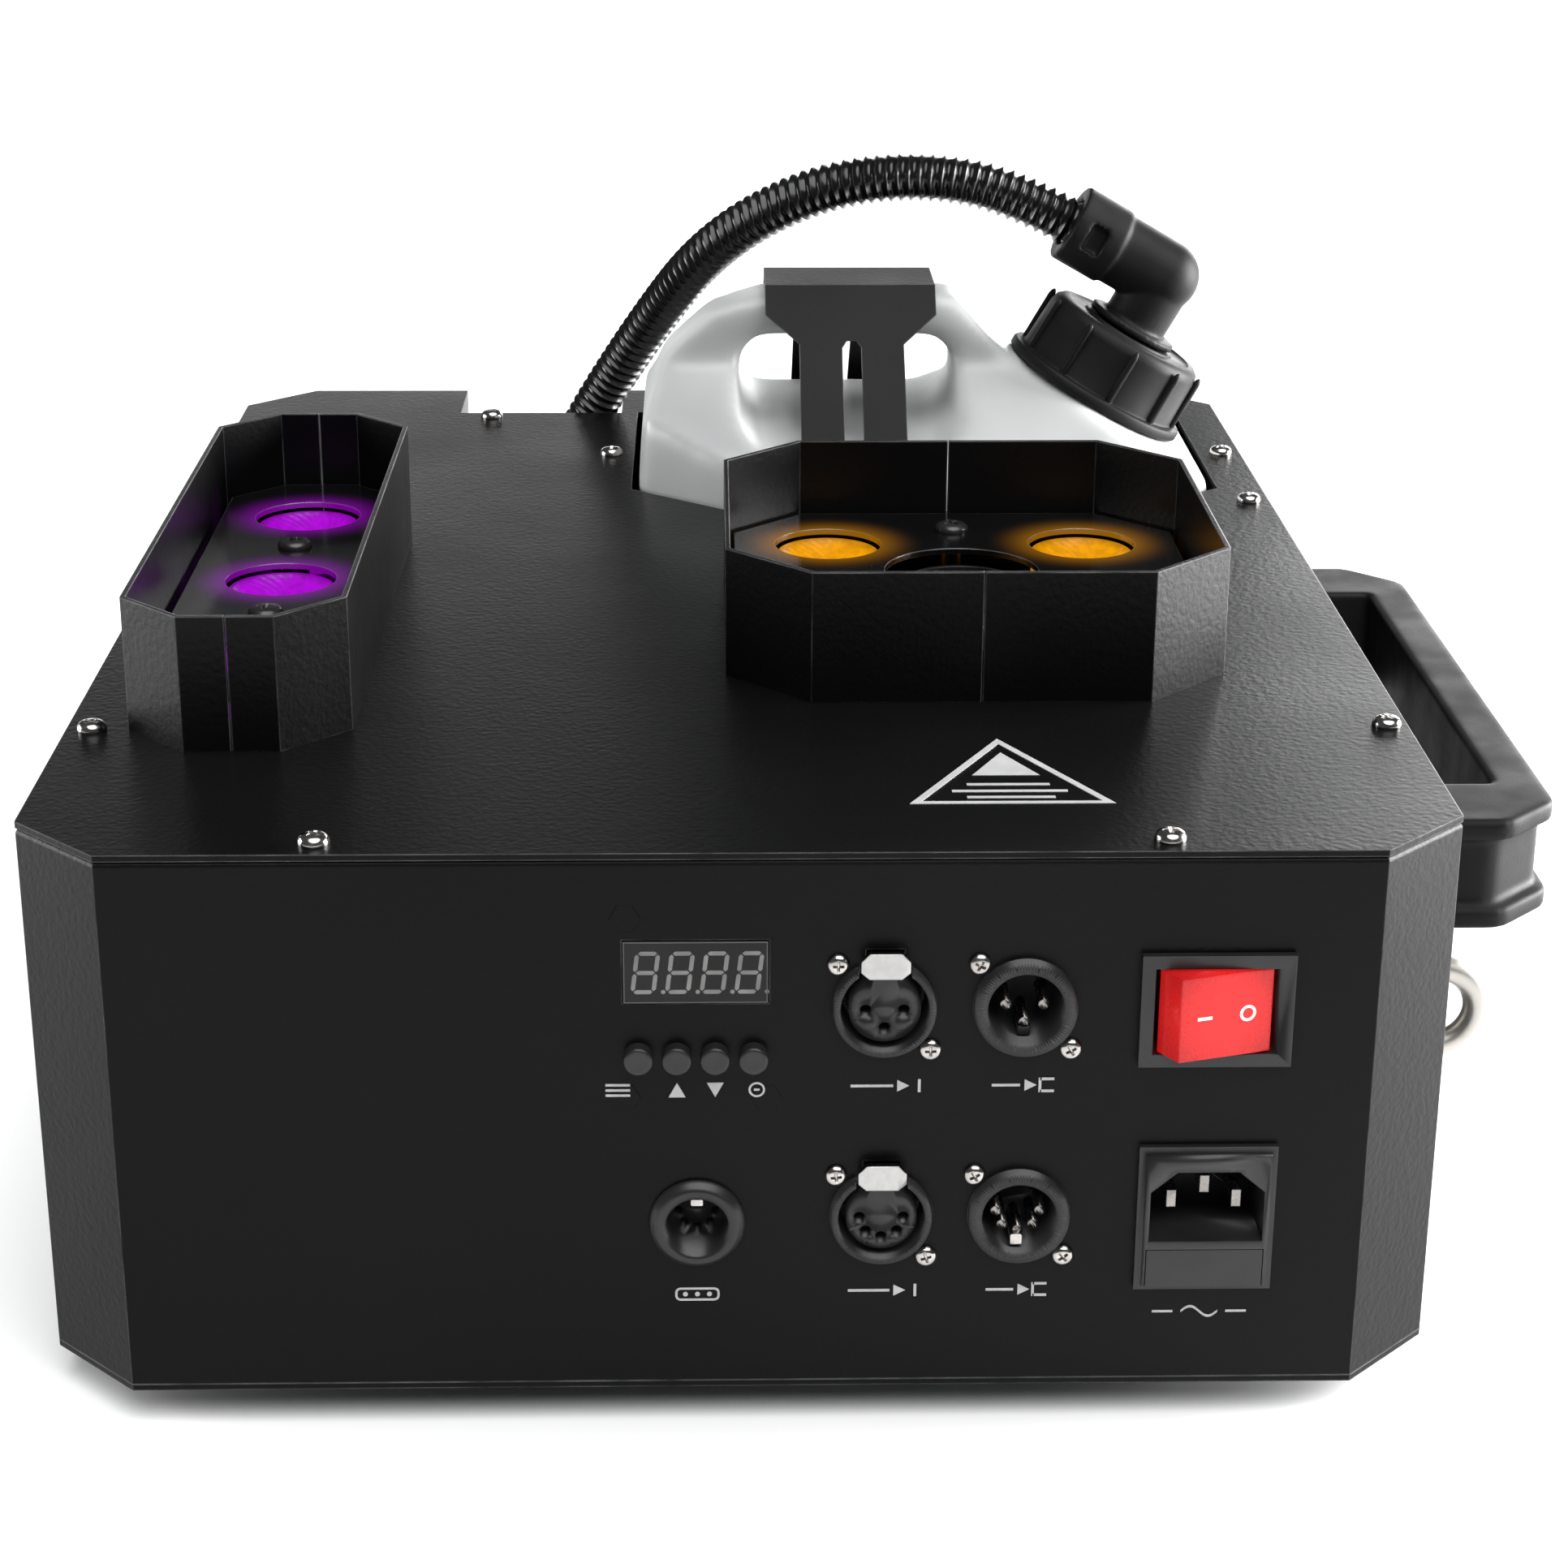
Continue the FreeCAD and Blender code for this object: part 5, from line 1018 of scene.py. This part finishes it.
        one, two, three, four = (middle(f"button_{number}") for number in range(1, 5))
        line = one.z - 7.9 * MM
        for dz in (-1.2, 0, 1.2):
            bar(one.x - 4.4 * MM, line + dz * MM, 5.2, 0.55)
        corner(two.x, line, 1, True)
        corner(three.x, line, -1, True)
        band(circle(four.x + 0.7 * MM, line, 1.75 * MM, 28), circle(four.x + 0.7 * MM, line, 1.3 * MM, 28),
             *PRINT_LEVELS, into=marks)
        bar(four.x + 0.7 * MM, line, 1.2, 0.5)
        for name in ("socket_3_pole", "socket_5_pole"):
            centre = middle(name)
            low = middle(name.replace("socket", "plug")).z - 18.3 * MM
            bar(centre.x - 2.4 * MM, low, 9.0, 0.6)
            corner(centre.x + 4.2 * MM, low, 1, False, 1.5)
            bar(centre.x + 7.6 * MM, low, 0.6, 3.0)
            plug = middle(name.replace("socket", "plug"))
            bar(plug.x - 3.6 * MM, low, 6.0, 0.6)
            corner(plug.x + 1.6 * MM, low, 1, False, 1.5)
            bar(plug.x + 3.6 * MM, low, 0.6, 3.4)
            bar(plug.x + 5.1 * MM, low + 1.4 * MM, 3.0, 0.6)
            bar(plug.x + 5.1 * MM, low - 1.4 * MM, 3.0, 0.6)
        remote = middle("remote_socket")
        low = remote.z - 17.5 * MM
        band(rounded(remote.x, low, 9.6 * MM, 3.2 * MM, 1.2 * MM, 4),
             rounded(remote.x, low, 8.6 * MM, 2.2 * MM, 0.7 * MM, 4), *PRINT_LEVELS, into=marks)
        for dx in (-2.6, 0, 2.6):
            prism(circle(remote.x + dx * MM, low, 0.55 * MM, 14), *PRINT_LEVELS, into=marks)
        inlet = middle("mains_inlet")
        low = inlet.z - 23.4 * MM
        wave = [(-4 + i * 0.4, 1.2 * math.sin(i * math.pi / 10)) for i in range(21)]
        ribbon = [(inlet.x + a * MM, low + (b + 0.3) * MM) for a, b in wave]
        ribbon += [(inlet.x + a * MM, low + (b - 0.3) * MM) for a, b in reversed(wave)]
        prism(ribbon, *PRINT_LEVELS, into=marks)
        bar(inlet.x - 8.0 * MM, low, 4.5, 0.55)
        bar(inlet.x + 8.0 * MM, low, 4.5, 0.55)
        ink = finish("white_print", colours().ink, (0.5, 0.6), other=(0.36, 0.36, 0.36, 1), patch=160.0,
                     edge=0.0001)
        piece("panel_print", to_mesh(marks, "panel_print", on_panel()), "case", ink,
              smooth=0)
        sign = bmesh.new()
        x = middle("right_lens_plate").x + 1.3 * MM
        y = PANEL_Y + 27.3 * MM

        def triangle(half, low, high):
            return [(x - half * MM, y + low * MM), (x + half * MM, y + low * MM), (x, y + high * MM)]

        band(triangle(22.1, 0, 40.6), triangle(19.4, 1.5, 37.2), *PRINT_LEVELS, into=sign)
        prism(triangle(7.4, 17.2, 31.6), *PRINT_LEVELS, into=sign)
        for dy, wide in ((11.6, 18), (7.6, 25), (3.9, 19)):
            prism(rectangle(x, y + dy * MM, wide * MM, 1.3 * MM), *PRINT_LEVELS, into=sign)
        piece("cover_print", to_mesh(sign, "cover_print", Matrix.Translation((0, 0, COVER_Z))), "case", ink,
              smooth=0)


class FOG_OT_rocker(StepOperator):
    """Lit red rocker with its two marks"""
    bl_idname = "fog.rocker"
    bl_label = "Rocker"

    def make(self):
        shader = Shader("lit_red")
        centre = middle("rocker_paddle")
        deep = shader.add("ShaderNodeVectorMath", {0: shader.place,
                                                   1: (centre.x + 0.002, PANEL_Y - 0.004, centre.z)},
                          operation="DISTANCE").outputs["Value"]
        lit = shader.spread(deep, 1.0, 0.42, 0.003, 0.016, smooth=True)
        dots = shader.spread(shader.noise(1900.0, 1.0), 0.85, 1.15)
        shader.give(shader.surface.inputs["Emission Strength"],
                    shader.total("MULTIPLY", shader.total("MULTIPLY", lit, dots), 0.75))
        shader.surface.inputs["Emission Color"].default_value = (1.0, 0.022, 0.022, 1)
        shader.give(shader.surface.inputs["Base Color"],
                    shader.mixed(lit, (0.12, 0.002, 0.002, 1), colours().paddle))
        shader.give(shader.surface.inputs["Roughness"], shader.spread(shader.noise(80.0, 2.0), 0.16, 0.26))
        shader.surface.inputs["Coat Weight"].default_value = 0.1
        shader.surface.inputs["Specular IOR Level"].default_value = 0.25
        soft = shader.add("ShaderNodeBevel", {"Radius": 0.0007}, samples=6).outputs["Normal"]
        shader.give(shader.surface.inputs["Normal"], soft)
        smooth_copy("rocker_paddle", "lit_paddle", "rocker", shader.material, smooth=12)
        marks = bmesh.new()
        prism(rectangle(-4.9 * MM, 0, 3.3 * MM, 0.75 * MM), -0.00002, 0.00005, into=marks)
        band(circle(4.9 * MM, 0, 1.85 * MM, 32), circle(4.9 * MM, 0, 1.2 * MM, 32), -0.00002, 0.00005,
             into=marks)
        place = (Matrix.Translation(ROCKER_PIVOT) @ Matrix.Rotation(ROCKER_TILT, 4, "Z")
                 @ Matrix.Translation((0, -0.0056, 0)) @ Matrix.Rotation(math.pi / 2, 4, "X"))
        white = finish("rocker_print", (0.85, 0.80, 0.78, 1), (0.4, 0.5), patch=300.0, edge=0.0001)
        piece("paddle_marks", to_mesh(marks, "paddle_marks", place), "rocker", white, smooth=0)


class FOG_OT_inside(StepOperator):
    """Finishes of the pieces inside the case"""
    bl_idname = "fog.inside"
    bl_label = "Inner pieces"

    def make(self):
        cast = finish("cast_aluminium", (0.50, 0.50, 0.50, 1), (0.38, 0.55), patch=90.0, metal=1.0,
                      grain=(700.0, 0.4, 0.0003))
        brass = finish("turned_brass", (0.62, 0.44, 0.16, 1), (0.18, 0.30), patch=200.0, metal=1.0)
        board = finish("green_board", (0.01, 0.09, 0.035, 1), (0.25, 0.4), other=(0.02, 0.14, 0.05, 1),
                       patch=160.0,
                       grain=(500.0, 0.25, 0.0002))
        tube = finish("clear_tube", (0.62, 0.64, 0.62, 1), (0.2, 0.32), patch=90.0)
        glass = finish("fuse_glass", (0.55, 0.6, 0.6, 1), (0.05, 0.12), patch=120.0)
        steel = raw_steel()
        groups = {
            cast: ("heater_lower_half", "heater_upper_half"),
            brass: ("fog_nozzle",),
            board: ("left_led_board", "right_led_board", "control_board", "power_boards"),
            tube: ("fluid_lines",),
            glass: ("glass_fuse",),
            steel: ("heating_element", "heater_brackets", "thermostat", "pump_housing", "pump_plunger",
                    "pump_spring"),
            blackened_steel(): ("nozzle_shroud",),
        }
        for material, nodes in groups.items():
            for node in nodes:
                dress(node, material)


STEPS = (FOG_OT_stage, FOG_OT_hose, FOG_OT_case, FOG_OT_hoods, FOG_OT_bottle, FOG_OT_cap,
         FOG_OT_moulded_parts,
         FOG_OT_metal_parts, FOG_OT_sockets, FOG_OT_rocker, FOG_OT_inside)


class FOG_PT_panel(bpy.types.Panel):
    """Steps, sizes and colours of the fog machine"""
    bl_idname = "FOG_PT_panel"
    bl_label = "Fog machine"
    bl_space_type = "VIEW_3D"
    bl_region_type = "UI"
    bl_category = "Fog machine"

    def draw(self, context):
        """List the settings and the steps."""
        for group in (context.scene.fog_machine_sizes, context.scene.fog_machine_colours):
            box = self.layout.box()
            for key in group.bl_rna.properties.keys():
                if key not in ("rna_type", "name"):
                    box.prop(group, key)
        for step in STEPS:
            self.layout.operator(step.bl_idname)


CLASSES = (FogMachineSizes, FogMachineColours, *STEPS, FOG_PT_panel)


def register():
    """Register the classes and their settings."""
    for item in CLASSES:
        bpy.utils.register_class(item)
    bpy.types.Scene.fog_machine_sizes = PointerProperty(type=FogMachineSizes)
    bpy.types.Scene.fog_machine_colours = PointerProperty(type=FogMachineColours)


def unregister():
    """Remove the settings and the classes."""
    del bpy.types.Scene.fog_machine_colours
    del bpy.types.Scene.fog_machine_sizes
    for item in reversed(CLASSES):
        bpy.utils.unregister_class(item)


def main():
    """Dress the fog machine."""
    register()
    for step in STEPS:
        family, name = step.bl_idname.split(".")
        getattr(getattr(bpy.ops, family), name)()


if __name__ == "__main__":
    main()
